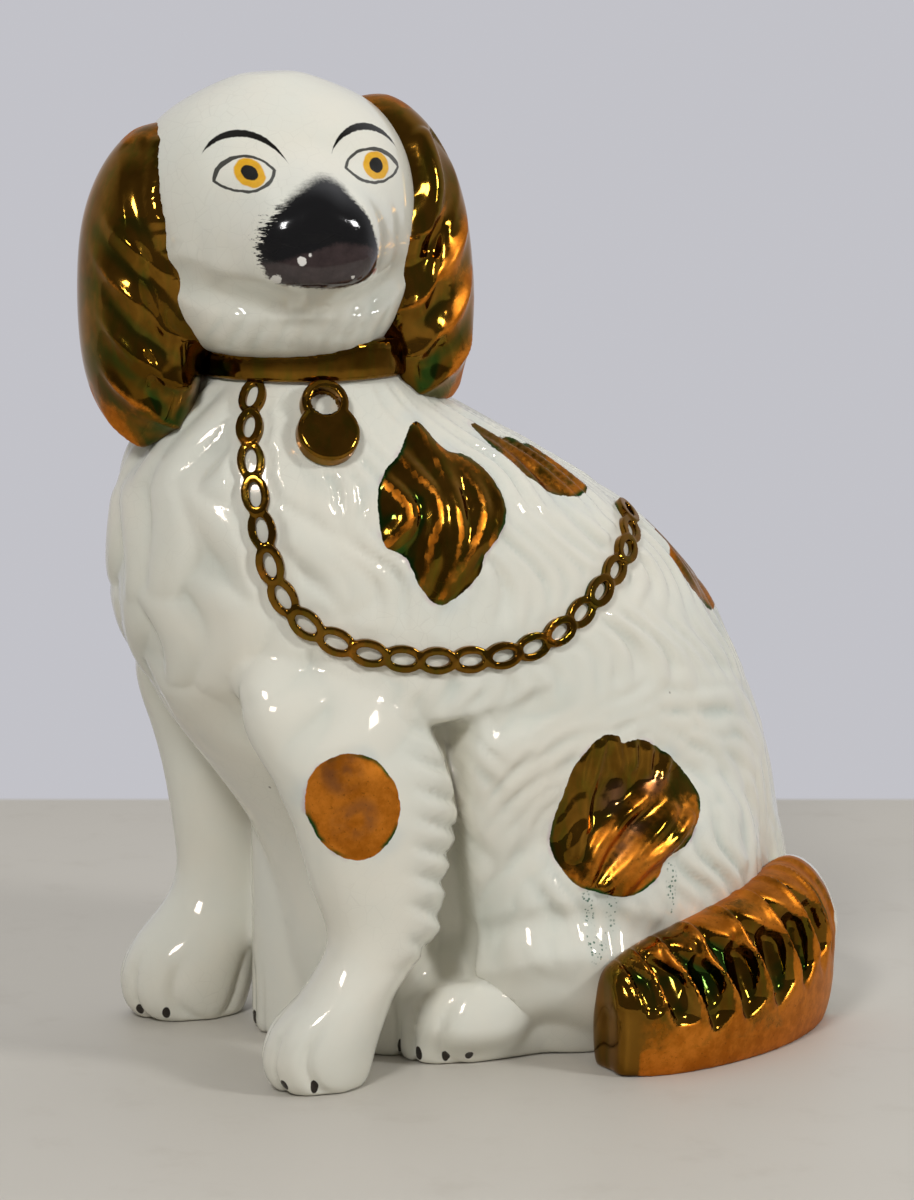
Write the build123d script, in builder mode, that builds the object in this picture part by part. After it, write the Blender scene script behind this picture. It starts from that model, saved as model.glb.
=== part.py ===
from build123d import *

import os
from math import cos, radians, sin

# Seated spaniel ornament of glazed earthenware, built the way a potter builds it.
# The body and the head are each pressed as two hollow halves, luted together with slip and backed by strips
# of clay along the seams. Forelegs, ears, tail, collar, padlock and chain are made apart and luted on, and a
# slab of clay with a vent hole closes the bottom.
# Frame: the dog faces -X, its left flank and its turned face look to -Y, and it stands on Z = 0.

# Clay
WALL = 6.0
STRIP_WIDTH = 16.0
STRIP_THICKNESS = 4.0

# Body: each row is height, front, back and width
TORSO_HEIGHT = 217.0
TORSO_LENGTH = 231.0
TORSO_WIDTH = 126.0
TORSO_SHARES = (
    (0.00, -0.265, 0.485, 0.76),
    (0.10, -0.270, 0.490, 0.80),
    (0.21, -0.285, 0.478, 0.85),
    (0.31, -0.315, 0.455, 0.91),
    (0.41, -0.380, 0.430, 0.97),
    (0.50, -0.443, 0.395, 1.00),
    (0.61, -0.498, 0.342, 0.985),
    (0.725, -0.517, 0.250, 0.92),
    (0.81, -0.507, 0.136, 0.84),
    (0.87, -0.483, 0.040, 0.73),
    (0.93, -0.434, -0.060, 0.60),
    (0.975, -0.392, -0.116, 0.50),
)
NECK_DIAMETER = 58.0
NECK_SHARE = -0.255

# Wall under the chest between the forelegs, nearer to the right one
BREAST_WALL_LENGTH = 84.0
BREAST_WALL_WIDTH = 66.0
BREAST_WALL_HEIGHT = 115.0
BREAST_WALL_ALONG_SHARE = -0.11
BREAST_WALL_ASIDE_SHARE = 0.12

# Haunches: each row is height and swell
HAUNCH_LENGTH = 112.0
HAUNCH_WIDTH = 74.0
HAUNCH_HEIGHT = 112.0
HAUNCH_ALONG_SHARE = 0.12
HAUNCH_ASIDE_SHARE = 0.24
HAUNCH_SHARES = (
    (0.0, 0.68),
    (0.12, 0.84),
    (0.28, 0.96),
    (0.45, 1.0),
    (0.62, 0.93),
    (0.78, 0.74),
    (0.9, 0.48),
    (1.0, 0.12),
)

# Hind paws: each row is reach, height and width
HIND_PAW_LENGTH = 70.0
HIND_PAW_WIDTH = 34.0
HIND_PAW_HEIGHT = 32.0
HIND_PAW_ASIDE_SHARE = 0.27
HIND_PAW_SHARES = (
    (0.0, 1.0, 1.0),
    (0.4, 1.0, 0.98),
    (0.65, 0.94, 1.0),
    (0.82, 0.8, 0.9),
    (0.94, 0.54, 0.6),
    (1.0, 0.2, 0.22),
)

# Forelegs: each row is height, place along the body, lean towards it, length, width and the left one's swell
FORELEG_HEIGHT = 138.0
FORELEG_LENGTH = 54.0
FORELEG_WIDTH = 35.0
FORELEG_ALONG_SHARE = -0.26
LEFT_FORELEG_ASIDE_SHARE = -0.375
RIGHT_FORELEG_ASIDE_SHARE = 0.42
FORELEG_SHARES = (
    (0.0, -0.26, 0.0, 0.66, 0.86, 0.0),
    (0.05, -0.285, 0.0, 0.80, 0.97, 0.0),
    (0.13, -0.25, 0.0, 0.84, 1.0, 0.0),
    (0.21, -0.12, 0.0, 0.80, 0.90, 0.0),
    (0.31, 0.045, 0.0, 0.78, 0.75, 0.02),
    (0.40, 0.045, 0.0, 0.76, 0.77, 0.08),
    (0.53, 0.045, 0.0, 0.86, 0.86, 0.16),
    (0.68, -0.01, 0.02, 0.95, 0.95, 0.20),
    (0.80, -0.09, 0.12, 1.0, 0.95, 0.17),
    (0.91, -0.13, 0.32, 0.9, 0.85, 0.14),
    (1.0, -0.13, 0.60, 0.7, 0.60, 0.10),
)

# Head: each row is height, width, front and back
HEAD_HEIGHT = 85.0
HEAD_WIDTH = 86.0
HEAD_DEPTH = 82.0
HEAD_ALONG_SHARE = -0.298
HEAD_ASIDE_SHARE = -0.05
FACE_TURN = 13.0
HEAD_TILT = 2.5
HEAD_SHARES = (
    (0.13, 0.84, 0.43, 0.41),
    (0.27, 0.94, 0.48, 0.45),
    (0.45, 0.99, 0.495, 0.49),
    (0.62, 1.0, 0.47, 0.525),
    (0.775, 0.90, 0.40, 0.475),
    (0.89, 0.68, 0.29, 0.35),
    (0.965, 0.39, 0.16, 0.20),
    (1.0, 0.10, 0.045, 0.05),
)

# Muzzle: each row is reach, width and height
MUZZLE_REACH = 60.0
MUZZLE_WIDTH = 56.0
MUZZLE_HEIGHT = 54.0
MUZZLE_LEVEL_SHARE = 0.45
MUZZLE_SHARES = (
    (0.35, 1.0, 1.0),
    (0.62, 0.92, 0.90),
    (0.80, 0.74, 0.70),
    (0.93, 0.58, 0.54),
    (0.985, 0.40, 0.37),
    (1.0, 0.2, 0.18),
)

# Ears: each row is height, distance to the side, thickness and depth
EAR_LENGTH = 95.0
EAR_THICKNESS = 35.0
EAR_DEPTH = 50.0
LEFT_EAR_DROP_SHARE = 0.115
RIGHT_EAR_DROP_SHARE = 0.165
EAR_FORWARD_SHARE = -0.05
EAR_SHARES = (
    (0.0, 0.395, 0.12, 0.14),
    (0.035, 0.42, 0.36, 0.38),
    (0.12, 0.452, 0.62, 0.64),
    (0.26, 0.482, 0.84, 0.84),
    (0.45, 0.492, 0.97, 0.96),
    (0.64, 0.492, 1.0, 1.0),
    (0.80, 0.488, 0.92, 0.92),
    (0.92, 0.48, 0.68, 0.68),
    (0.98, 0.475, 0.40, 0.42),
    (1.0, 0.475, 0.14, 0.16),
)

# Tail: each row is place on the path, height and thickness
TAIL_HEIGHT = 50.0
TAIL_THICKNESS = 32.0
TAIL_PATH_SHARES = ((0.48, 0.06), (0.37, -0.37), (0.03, -0.585))
TAIL_SHARES = (
    (0.0, 0.68, 0.62),
    (0.25, 0.93, 0.92),
    (0.5, 1.0, 1.0),
    (0.75, 0.88, 1.0),
    (0.92, 0.75, 0.95),
    (1.0, 0.62, 0.66),
)

# Collar
COLLAR_WIDTH = 10.0
COLLAR_THICKNESS = 5.0

# Padlock: its place is along and up the body
PADLOCK_HEIGHT = 26.0
PADLOCK_WIDTH = 18.5
PADLOCK_THICKNESS = 6.0
PADLOCK_RING_DIAMETER = 14.0
PADLOCK_HOLE_DIAMETER = 8.0
PADLOCK_EDGE = 1.2
PADLOCK_PLACE_SHARES = (-0.3035, 0.917)

# Chain: its route is along and up the body, from the collar to the seam on the back
LINK_LENGTH = 13.0
LINK_WIDTH = 8.6
LINK_BAR = 2.6
LINK_RISE = 3.0
LINK_STEP = 0.7
LINK_COUNT = 22
CHAIN_SHARES = (
    (-0.364, 0.968),
    (-0.398, 0.885),
    (-0.400, 0.774),
    (-0.368, 0.670),
    (-0.301, 0.618),
    (-0.180, 0.595),
    (-0.052, 0.606),
    (0.075, 0.678),
    (0.146, 0.732),
    (0.172, 0.762),
)

# Locks of hair raised on the left shoulder and the left haunch: each lock is three places along and up the body
LOCK_WIDTH = 7.0
LOCK_RISE = 2.2
LOCK_SWELL_SHARES = ((0.0, 0.35), (0.3, 0.9), (0.5, 1.0), (0.7, 0.9), (1.0, 0.35))
LOCK_PATH_SHARES = (
    ((-0.248, 0.843), (-0.221, 0.795), (-0.255, 0.758)),
    ((-0.216, 0.870), (-0.180, 0.793), (-0.210, 0.698)),
    ((-0.176, 0.905), (-0.154, 0.776), (-0.184, 0.680)),
    ((-0.156, 0.880), (-0.113, 0.802), (-0.163, 0.706)),
    ((-0.139, 0.869), (-0.083, 0.813), (-0.111, 0.749)),
    ((0.009, 0.304), (0.0195, 0.350), (0.024, 0.387)),
    ((0.0195, 0.258), (0.041, 0.311), (0.1125, 0.369)),
    ((0.039, 0.2465), (0.0715, 0.279), (0.156, 0.350)),
    ((0.068, 0.2465), (0.102, 0.283), (0.182, 0.336)),
)

# Hollows between the locks of the tail
TAIL_HOLLOW_LENGTH = 36.0
TAIL_HOLLOW_WIDTH = 10.5
TAIL_HOLLOW_DEPTH = 3.0
TAIL_HOLLOW_LEAN = 6.0
TAIL_HOLLOW_LEVEL_SHARE = 0.62
TAIL_HOLLOW_SHARES = (0.46, 0.55, 0.64, 0.73, 0.82, 0.91)

# Hollows between the locks of the ears, by height
EAR_HOLLOW_LENGTH = 34.0
EAR_HOLLOW_WIDTH = 14.0
EAR_HOLLOW_DEPTH = 2.4
EAR_HOLLOW_LEAN = 42.0
EAR_HOLLOW_SHARES = (0.47, 0.64, 0.81)

# Base slab
BASE_THICKNESS = 7.0
VENT_DIAMETER = 9.0
VENT_SHARE = 0.2

# How much of a rounded foot or tail lies under the floor before it is cut flat, as a share of its height
SUNK_SHARE = 0.28


def oval(plane, long_radius, short_radius):
    """One oval section on a plane, the long radius along the plane's X."""
    with BuildSketch(plane) as section:
        Ellipse(long_radius, short_radius)
    return section.sketch


def neck_section(inset):
    """The round section at the neck seam, where body and head meet."""
    with BuildSketch(Plane((NECK_SHARE * TORSO_LENGTH, 0, TORSO_HEIGHT))) as section:
        Circle(NECK_DIAMETER / 2 - inset)
    return section.sketch


def torso_sections(inset):
    """The body's level sections from the floor to the neck seam, drawn in by the inset."""
    sections = []
    for height, front, back, width in TORSO_SHARES:
        plane = Plane(((front + back) / 2 * TORSO_LENGTH, 0, height * TORSO_HEIGHT))
        half_length, half_width = (back - front) / 2 * TORSO_LENGTH, width * TORSO_WIDTH / 2
        sections.append(oval(plane, half_length - inset, half_width - inset))
    return sections + [neck_section(inset)]


def haunch_sections(flank, inset):
    """One haunch's level sections: flank is -1 for the left haunch and 1 for the right."""
    sections = []
    along, aside = HAUNCH_ALONG_SHARE * TORSO_LENGTH, flank * HAUNCH_ASIDE_SHARE * TORSO_WIDTH
    for height, swell in HAUNCH_SHARES:
        if swell * HAUNCH_WIDTH / 2 > 2 * inset:
            plane = Plane((along, aside, height * HAUNCH_HEIGHT))
            sections.append(oval(plane, swell * HAUNCH_LENGTH / 2 - inset, swell * HAUNCH_WIDTH / 2 - inset))
    return sections


def hind_paw_sections(flank):
    """One hind paw's upright sections, from inside the haunch to the toes."""
    sections = []
    for reach, height, width in HIND_PAW_SHARES:
        tall = height * HIND_PAW_HEIGHT
        along = HAUNCH_ALONG_SHARE * TORSO_LENGTH - reach * HIND_PAW_LENGTH
        centre = (along, flank * HIND_PAW_ASIDE_SHARE * TORSO_WIDTH, (1 - SUNK_SHARE) / 2 * tall)
        plane = Plane(centre, x_dir=(0, 0, 1), z_dir=(-1, 0, 0))
        sections.append(oval(plane, (1 + SUNK_SHARE) / 2 * tall, width * HIND_PAW_WIDTH / 2))
    return sections


def head_plane(aside, forward, level):
    """A plane across the turned and tilted head: X to the dog's left, -Y along the face, Z to the crown."""
    turn, tilt = radians(FACE_TURN), radians(HEAD_TILT)
    ahead = Vector(-sin(turn), -cos(turn), 0)
    left = Vector(cos(turn) * cos(tilt), -sin(turn) * cos(tilt), sin(tilt))
    crown = ahead.cross(left)
    centre = Vector(HEAD_ALONG_SHARE * TORSO_LENGTH, HEAD_ASIDE_SHARE * TORSO_WIDTH, TORSO_HEIGHT)
    return Plane(centre + left * aside + ahead * forward + crown * level, x_dir=left, z_dir=crown)


def head_sections(inset):
    """The head's level sections from the neck seam to the crown, drawn in by the inset."""
    sections = [neck_section(inset)]
    for height, width, front, back in HEAD_SHARES:
        if width * HEAD_WIDTH / 2 > 2 * inset:
            plane = head_plane(0, (front - back) / 2 * HEAD_DEPTH, height * (HEAD_HEIGHT - inset))
            half_width, half_depth = width * HEAD_WIDTH / 2, (front + back) / 2 * HEAD_DEPTH
            sections.append(oval(plane, half_width - inset, half_depth - inset))
    return sections


def muzzle_sections():
    """The muzzle's upright sections along the face, from inside the head to the nose."""
    sections = []
    for reach, width, height in MUZZLE_SHARES:
        level = head_plane(0, reach * MUZZLE_REACH, MUZZLE_LEVEL_SHARE * HEAD_HEIGHT)
        plane = Plane(level.origin, x_dir=level.x_dir, z_dir=-level.y_dir)
        sections.append(oval(plane, width * MUZZLE_WIDTH / 2, height * MUZZLE_HEIGHT / 2))
    return sections


def foreleg_sections(flank, aside_share):
    """One foreleg's level sections, from the paw to the shoulder inside the body."""
    sections = []
    for height, along, lean, length, width, swell in FORELEG_SHARES:
        ahead = swell if flank < 0 else 0
        place = FORELEG_ALONG_SHARE * TORSO_LENGTH + (along - ahead / 2) * FORELEG_LENGTH
        aside = aside_share * TORSO_WIDTH - flank * lean * FORELEG_WIDTH
        plane = Plane((place, aside, height * FORELEG_HEIGHT))
        sections.append(oval(plane, (length + ahead) * FORELEG_LENGTH / 2, width * FORELEG_WIDTH / 2))
    return sections


def ear_level(flank, share):
    """How high one ear is above the neck seam, at a share of its length down from its root."""
    drop = LEFT_EAR_DROP_SHARE if flank > 0 else RIGHT_EAR_DROP_SHARE
    return (1 - drop) * HEAD_HEIGHT - share * EAR_LENGTH


def ear_sections(flank):
    """One ear's level sections, from its root on the skull to its tip: flank is 1 for the left ear."""
    sections = []
    for height, aside, thickness, depth in EAR_SHARES:
        hang = head_plane(
            flank * aside * HEAD_WIDTH, EAR_FORWARD_SHARE * HEAD_DEPTH, ear_level(flank, height)
        )
        plane = Plane(hang.origin, x_dir=hang.y_dir, z_dir=hang.z_dir)
        sections.append(oval(plane, depth * EAR_DEPTH / 2, thickness * EAR_THICKNESS / 2))
    return sections


def tail_path():
    """The line on the floor that the tail follows round the rump, from its root to its end."""
    with BuildLine() as path:
        ThreePointArc([(along * TORSO_LENGTH, aside * TORSO_WIDTH) for along, aside in TAIL_PATH_SHARES])
    return path.line


def tail_sections():
    """The tail's upright sections along its path."""
    sections = []
    path = tail_path()
    for place, height, thickness in TAIL_SHARES:
        tall = height * TAIL_HEIGHT
        centre = path @ place + Vector(0, 0, (1 - SUNK_SHARE) / 2 * tall)
        plane = Plane(centre, x_dir=(0, 0, 1), z_dir=path % place)
        sections.append(oval(plane, (1 + SUNK_SHARE) / 2 * tall, thickness * TAIL_THICKNESS / 2))
    return sections


def spindle_plane(place, facing, forward, lean, lift):
    """A plane for turning a spindle that lies on a surface: X along the spindle, Y out of the surface."""
    level = Plane(place + facing * lift, x_dir=forward, z_dir=facing).rotated((0, 0, lean))
    return Plane(level.origin, x_dir=level.x_dir, z_dir=level.y_dir * -1)


def half_spindle(plane, length, width):
    """Half the outline of a spindle, to be turned about the plane's X."""
    with BuildSketch(plane) as outline:
        with BuildLine():
            EllipticalCenterArc((0, 0), length / 2, width / 2, start_angle=0, arc_size=180)
            Line((length / 2, 0), (-length / 2, 0))
        make_face()
    return outline.sketch


# Forms: whole solids that the hollow pieces are cut from and the others seat on
with BuildPart() as torso_form:
    loft(torso_sections(0))
    breast_place = (BREAST_WALL_ALONG_SHARE * TORSO_LENGTH, BREAST_WALL_ASIDE_SHARE * TORSO_WIDTH, 0)
    with BuildSketch(Plane(breast_place)):
        Ellipse(BREAST_WALL_LENGTH / 2, BREAST_WALL_WIDTH / 2)
    extrude(amount=BREAST_WALL_HEIGHT)
    for flank in (-1, 1):
        loft(haunch_sections(flank, 0))
        loft(hind_paw_sections(flank))
    split(bisect_by=Plane.XY, keep=Keep.TOP)

with BuildPart() as torso_cavity:
    loft(torso_sections(WALL))
    for flank in (-1, 1):
        loft(haunch_sections(flank, WALL))

with BuildPart() as head_form:
    loft(head_sections(0))
    loft(muzzle_sections())

with BuildPart() as head_cavity:
    loft(head_sections(WALL))


def on_flank(along, height):
    """The place on the left flank at a distance along and up the body, and the way it faces there."""
    sight = Axis((along, -TORSO_WIDTH, height), (0, 1, 0))
    return torso_form.part.find_intersection_points(sight)[0]


def lock_sections(path_shares):
    """The sections across one raised lock of hair, half sunk in the left flank along its path."""
    sections = []
    with BuildLine() as path:
        Spline([on_flank(along * TORSO_LENGTH, up * TORSO_HEIGHT)[0] for along, up in path_shares])
    for share, swell in LOCK_SWELL_SHARES:
        place = path.line @ share
        place, facing = on_flank(place.X, place.Z)
        forward = path.line % share
        plane = Plane(place, x_dir=facing.cross(forward), z_dir=forward)
        sections.append(oval(plane, swell * LOCK_WIDTH / 2, swell * LOCK_RISE))
    return sections


# Body halves
os.makedirs("parts", exist_ok=True)
for name, kept in (("torso_left_half", Keep.BOTTOM), ("torso_right_half", Keep.TOP)):
    with BuildPart() as torso_half:
        add(torso_form.part)
        add(torso_cavity.part, mode=Mode.SUBTRACT)
        split(bisect_by=Plane.ZX, keep=kept)
        if kept == Keep.BOTTOM:
            for path_shares in LOCK_PATH_SHARES:
                loft(lock_sections(path_shares))
    torso_half.part.label = name
    export_step(torso_half.part, f"parts/{name}.step")

# Head halves
head_foot = head_plane(0, 0, 0)
face_plane = Plane(head_foot.origin, x_dir=head_foot.x_dir, z_dir=-head_foot.y_dir)
for name, kept in (("head_face_half", Keep.TOP), ("head_back_half", Keep.BOTTOM)):
    with BuildPart() as head_half:
        add(head_form.part)
        add(head_cavity.part, mode=Mode.SUBTRACT)
        split(bisect_by=face_plane, keep=kept)
    head_half.part.label = name
    export_step(head_half.part, f"parts/{name}.step")

# Forelegs
for name, flank, aside_share in (
    ("left_foreleg", -1, LEFT_FORELEG_ASIDE_SHARE),
    ("right_foreleg", 1, RIGHT_FORELEG_ASIDE_SHARE),
):
    with BuildPart() as foreleg:
        loft(foreleg_sections(flank, aside_share))
        add(torso_form.part, mode=Mode.SUBTRACT)
    foreleg.part.label = name
    export_step(foreleg.part, f"parts/{name}.step")

# Collar
with BuildPart() as collar:
    with BuildSketch(Plane((NECK_SHARE * TORSO_LENGTH, 0, TORSO_HEIGHT - COLLAR_WIDTH / 2))):
        Circle(NECK_DIAMETER / 2 + COLLAR_THICKNESS)
    extrude(amount=COLLAR_WIDTH)
    add(torso_form.part, mode=Mode.SUBTRACT)
    add(head_form.part, mode=Mode.SUBTRACT)
collar.part.label = "collar"
export_step(collar.part, "parts/collar.step")

# Ears
for name, flank in (("left_ear", 1), ("right_ear", -1)):
    with BuildPart() as ear:
        loft(ear_sections(flank))
        whole_ear = ear.part
        for share in EAR_HOLLOW_SHARES:
            hang = head_plane(flank * HEAD_WIDTH / 2, HEAD_DEPTH, ear_level(flank, share))
            place, facing = whole_ear.find_intersection_points(Axis(hang.origin, hang.y_dir))[0]
            plane = spindle_plane(
                place, facing, hang.z_dir, -flank * EAR_HOLLOW_LEAN, EAR_HOLLOW_WIDTH / 2 - EAR_HOLLOW_DEPTH
            )
            turned = half_spindle(plane, EAR_HOLLOW_LENGTH, EAR_HOLLOW_WIDTH)
            revolve(turned, axis=Axis(plane.origin, plane.x_dir), mode=Mode.SUBTRACT)
        add(head_form.part, mode=Mode.SUBTRACT)
        add(torso_form.part, mode=Mode.SUBTRACT)
        add(collar.part, mode=Mode.SUBTRACT)
    ear.part.label = name
    export_step(ear.part, f"parts/{name}.step")

# Tail
with BuildPart() as tail:
    loft(tail_sections())
    whole_tail = tail.part
    for share in TAIL_HOLLOW_SHARES:
        forward = tail_path() % share
        outward = Vector(0, 0, 1).cross(forward)
        level = Vector(0, 0, TAIL_HOLLOW_LEVEL_SHARE * TAIL_HEIGHT)
        outside = tail_path() @ share + level + outward * TORSO_WIDTH
        place, facing = whole_tail.find_intersection_points(Axis(outside, outward * -1))[0]
        plane = spindle_plane(
            place, facing, facing.cross(forward), TAIL_HOLLOW_LEAN, TAIL_HOLLOW_WIDTH / 2 - TAIL_HOLLOW_DEPTH
        )
        turned = half_spindle(plane, TAIL_HOLLOW_LENGTH, TAIL_HOLLOW_WIDTH)
        revolve(turned, axis=Axis(plane.origin, plane.x_dir), mode=Mode.SUBTRACT)
    split(bisect_by=Plane.XY, keep=Keep.TOP)
    add(torso_form.part, mode=Mode.SUBTRACT)
tail.part.label = "tail"
export_step(tail.part, "parts/tail.step")

# Padlock
lock_along, lock_up = PADLOCK_PLACE_SHARES
hang_point, hang_normal = on_flank(lock_along * TORSO_LENGTH, lock_up * TORSO_HEIGHT)
with BuildPart() as padlock:
    with BuildSketch(Plane(hang_point, x_dir=Vector(0, 0, 1).cross(hang_normal), z_dir=hang_normal)):
        with Locations((0, (PADLOCK_WIDTH - PADLOCK_HEIGHT) / 2)):
            Circle(PADLOCK_WIDTH / 2)
        with Locations((0, (PADLOCK_HEIGHT - PADLOCK_RING_DIAMETER) / 2)):
            Circle(PADLOCK_RING_DIAMETER / 2)
            Circle(PADLOCK_HOLE_DIAMETER / 2, mode=Mode.SUBTRACT)
    extrude(amount=PADLOCK_THICKNESS, both=True)
    fillet(padlock.faces().sort_by(Axis(hang_point, hang_normal))[-1].edges(), PADLOCK_EDGE)
    add(torso_form.part, mode=Mode.SUBTRACT)
    add(collar.part, mode=Mode.SUBTRACT)
padlock.part.label = "padlock"
export_step(padlock.part, "parts/padlock.step")

# Chain
with BuildLine() as chain_path:
    Spline([on_flank(along * TORSO_LENGTH, up * TORSO_HEIGHT)[0] for along, up in CHAIN_SHARES])
with BuildPart() as chain:
    for link in range(LINK_COUNT):
        share = (link + 0.5) / LINK_COUNT
        place = chain_path.line @ share
        place, facing = on_flank(place.X, place.Z)
        raised = place + facing * (link % 2 * LINK_STEP)
        with BuildSketch(Plane(raised, x_dir=chain_path.line % share, z_dir=facing)):
            Ellipse(LINK_LENGTH / 2, LINK_WIDTH / 2)
            Ellipse(LINK_LENGTH / 2 - LINK_BAR, LINK_WIDTH / 2 - LINK_BAR, mode=Mode.SUBTRACT)
    extrude(amount=LINK_RISE, both=True)
    add(torso_form.part, mode=Mode.SUBTRACT)
    add(collar.part, mode=Mode.SUBTRACT)
chain.part.label = "chain"
export_step(chain.part, "parts/chain.step")

# Strip inside the body seam
with BuildPart() as torso_seam_strip:
    loft(torso_sections(WALL))
    loft(torso_sections(WALL + STRIP_THICKNESS), mode=Mode.SUBTRACT)
    split(bisect_by=Plane.ZX.offset(STRIP_WIDTH / 2), keep=Keep.BOTTOM)
    split(bisect_by=Plane.ZX.offset(-STRIP_WIDTH / 2), keep=Keep.TOP)
    split(bisect_by=Plane.XY.offset(BASE_THICKNESS), keep=Keep.TOP)
    split(bisect_by=Plane.XY.offset(TORSO_HEIGHT - STRIP_WIDTH / 2), keep=Keep.BOTTOM)
torso_seam_strip.part.label = "torso_seam_strip"
export_step(torso_seam_strip.part, "parts/torso_seam_strip.step")

# Strip round the inside of the neck seam
with BuildPart() as neck_seam_strip:
    loft(torso_sections(WALL))
    loft(head_sections(WALL))
    loft(torso_sections(WALL + STRIP_THICKNESS), mode=Mode.SUBTRACT)
    loft(head_sections(WALL + STRIP_THICKNESS), mode=Mode.SUBTRACT)
    split(bisect_by=Plane.XY.offset(TORSO_HEIGHT - STRIP_WIDTH / 2), keep=Keep.TOP)
    split(bisect_by=Plane.XY.offset(TORSO_HEIGHT + STRIP_WIDTH / 2), keep=Keep.BOTTOM)
neck_seam_strip.part.label = "neck_seam_strip"
export_step(neck_seam_strip.part, "parts/neck_seam_strip.step")

# Strip inside the head seam
with BuildPart() as head_seam_strip:
    loft(head_sections(WALL))
    split(bisect_by=face_plane.offset(STRIP_WIDTH / 2), keep=Keep.BOTTOM)
    split(bisect_by=face_plane.offset(-STRIP_WIDTH / 2), keep=Keep.TOP)
    split(bisect_by=Plane.XY.offset(TORSO_HEIGHT + STRIP_WIDTH / 2), keep=Keep.TOP)
    loft(head_sections(WALL + STRIP_THICKNESS), mode=Mode.SUBTRACT)
head_seam_strip.part.label = "head_seam_strip"
export_step(head_seam_strip.part, "parts/head_seam_strip.step")

# Base slab
with BuildPart() as base_slab:
    add(torso_cavity.part)
    split(bisect_by=Plane.XY.offset(BASE_THICKNESS), keep=Keep.BOTTOM)
    with Locations((VENT_SHARE * TORSO_LENGTH, 0, BASE_THICKNESS)):
        Hole(VENT_DIAMETER / 2)
base_slab.part.label = "base_slab"
export_step(base_slab.part, "parts/base_slab.step")
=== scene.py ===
import math

import bpy
import numpy as np
from mathutils import Matrix, Vector, noise
from mathutils.bvhtree import BVHTree


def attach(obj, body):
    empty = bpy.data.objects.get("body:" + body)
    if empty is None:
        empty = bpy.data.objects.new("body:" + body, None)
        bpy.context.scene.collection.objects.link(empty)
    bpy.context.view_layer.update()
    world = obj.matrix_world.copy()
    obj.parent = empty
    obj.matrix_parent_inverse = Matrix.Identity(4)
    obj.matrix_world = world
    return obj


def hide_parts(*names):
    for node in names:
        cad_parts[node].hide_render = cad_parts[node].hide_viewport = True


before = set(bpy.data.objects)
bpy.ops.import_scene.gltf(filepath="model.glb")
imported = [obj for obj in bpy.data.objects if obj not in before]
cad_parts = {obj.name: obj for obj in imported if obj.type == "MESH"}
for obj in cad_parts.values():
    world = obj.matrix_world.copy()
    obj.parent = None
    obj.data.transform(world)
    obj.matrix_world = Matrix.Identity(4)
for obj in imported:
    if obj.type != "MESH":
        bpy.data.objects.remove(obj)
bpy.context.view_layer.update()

# Body: trunk, haunches and forelegs of press-moulded earthenware, luted together and dipped in white glaze.
# The glaze runs over every joint, so they are one skin here, with the hair that the mould left in low relief,
# copper lustre painted on in patches and black enamel claws.
MM = 1000
WELD_GAP = 0.000001
WEIGHT_STEPS = 10
NOISE_SPREAD = 1.6
LOCK_ROUND = 0.8
TUFT_ROW = 0.55
TUFT_CHANCE = (12.9898, 78.233, 437.585)
CURVE_STEP = 0.2
PATCH_REACH, PATCH_FAR, STROKE_REACH = 60, -40.0, 45


def edited(tool, **settings):
    """One edit of all of the active mesh."""
    bpy.ops.object.mode_set(mode="EDIT")
    bpy.ops.mesh.select_all(action="SELECT")
    tool(**settings)
    bpy.ops.object.mode_set(mode="OBJECT")


def glazed_skin(name, nodes, voxel, plugs=()):
    """One closed outer skin over copies of CAD nodes, in metres. Each plug is a disc that closes a hole."""
    shells = []
    for place, radius, depth in plugs:
        bpy.ops.mesh.primitive_cylinder_add(vertices=32, radius=radius, depth=depth, location=place)
        bpy.ops.object.transform_apply(location=True, rotation=True, scale=True)
        shells.append(bpy.context.object)
    for node in nodes:
        shell = bpy.data.objects.new(name + "_shell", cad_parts[node].data.copy())
        bpy.context.scene.collection.objects.link(shell)
        shells.append(shell)
    bpy.ops.object.select_all(action="DESELECT")
    for shell in shells:
        shell.select_set(True)
    bpy.context.view_layer.objects.active = shells[-1]
    bpy.ops.object.join()
    skin = bpy.context.object
    edited(bpy.ops.mesh.remove_doubles, threshold=WELD_GAP)
    remesh = skin.modifiers.new("skin", "REMESH")
    remesh.mode = "VOXEL"
    remesh.voxel_size = voxel
    bpy.ops.object.modifier_apply(modifier="skin")
    edited(bpy.ops.mesh.separate, type="LOOSE")
    shells = sorted(bpy.context.selected_objects, key=lambda shell: len(shell.data.vertices))
    skin = shells.pop()
    for shell in shells:
        bpy.data.objects.remove(shell)
    skin.name = name
    skin.data.materials.clear()
    bpy.ops.object.select_all(action="DESELECT")
    skin.select_set(True)
    bpy.context.view_layer.objects.active = skin
    bpy.ops.object.shade_smooth()
    return skin


def relax(piece, rounds, weights=None):
    """Soften a skin as wet clay and glaze soften it, by weights from 0 to 1 if given."""
    bpy.context.view_layer.objects.active = piece
    smooth = piece.modifiers.new("soften", "SMOOTH")
    smooth.factor = 0.5
    smooth.iterations = rounds
    if weights is not None:
        group = piece.vertex_groups.new(name="soften")
        for level in range(1, WEIGHT_STEPS + 1):
            picked = np.nonzero(np.round(weights * WEIGHT_STEPS) == level)[0]
            group.add(picked.tolist(), level / WEIGHT_STEPS, "REPLACE")
        smooth.vertex_group = "soften"
    bpy.ops.object.modifier_apply(modifier="soften")
    piece.vertex_groups.clear()


def surface(piece):
    """The points of a skin in millimetres and the ways they face."""
    points = np.empty(len(piece.data.vertices) * 3, np.float32)
    facing = np.empty_like(points)
    piece.data.vertices.foreach_get("co", points)
    piece.data.vertex_normals.foreach_get("vector", facing)
    return points.reshape(-1, 3).astype(float) * MM, facing.reshape(-1, 3).astype(float)


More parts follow.
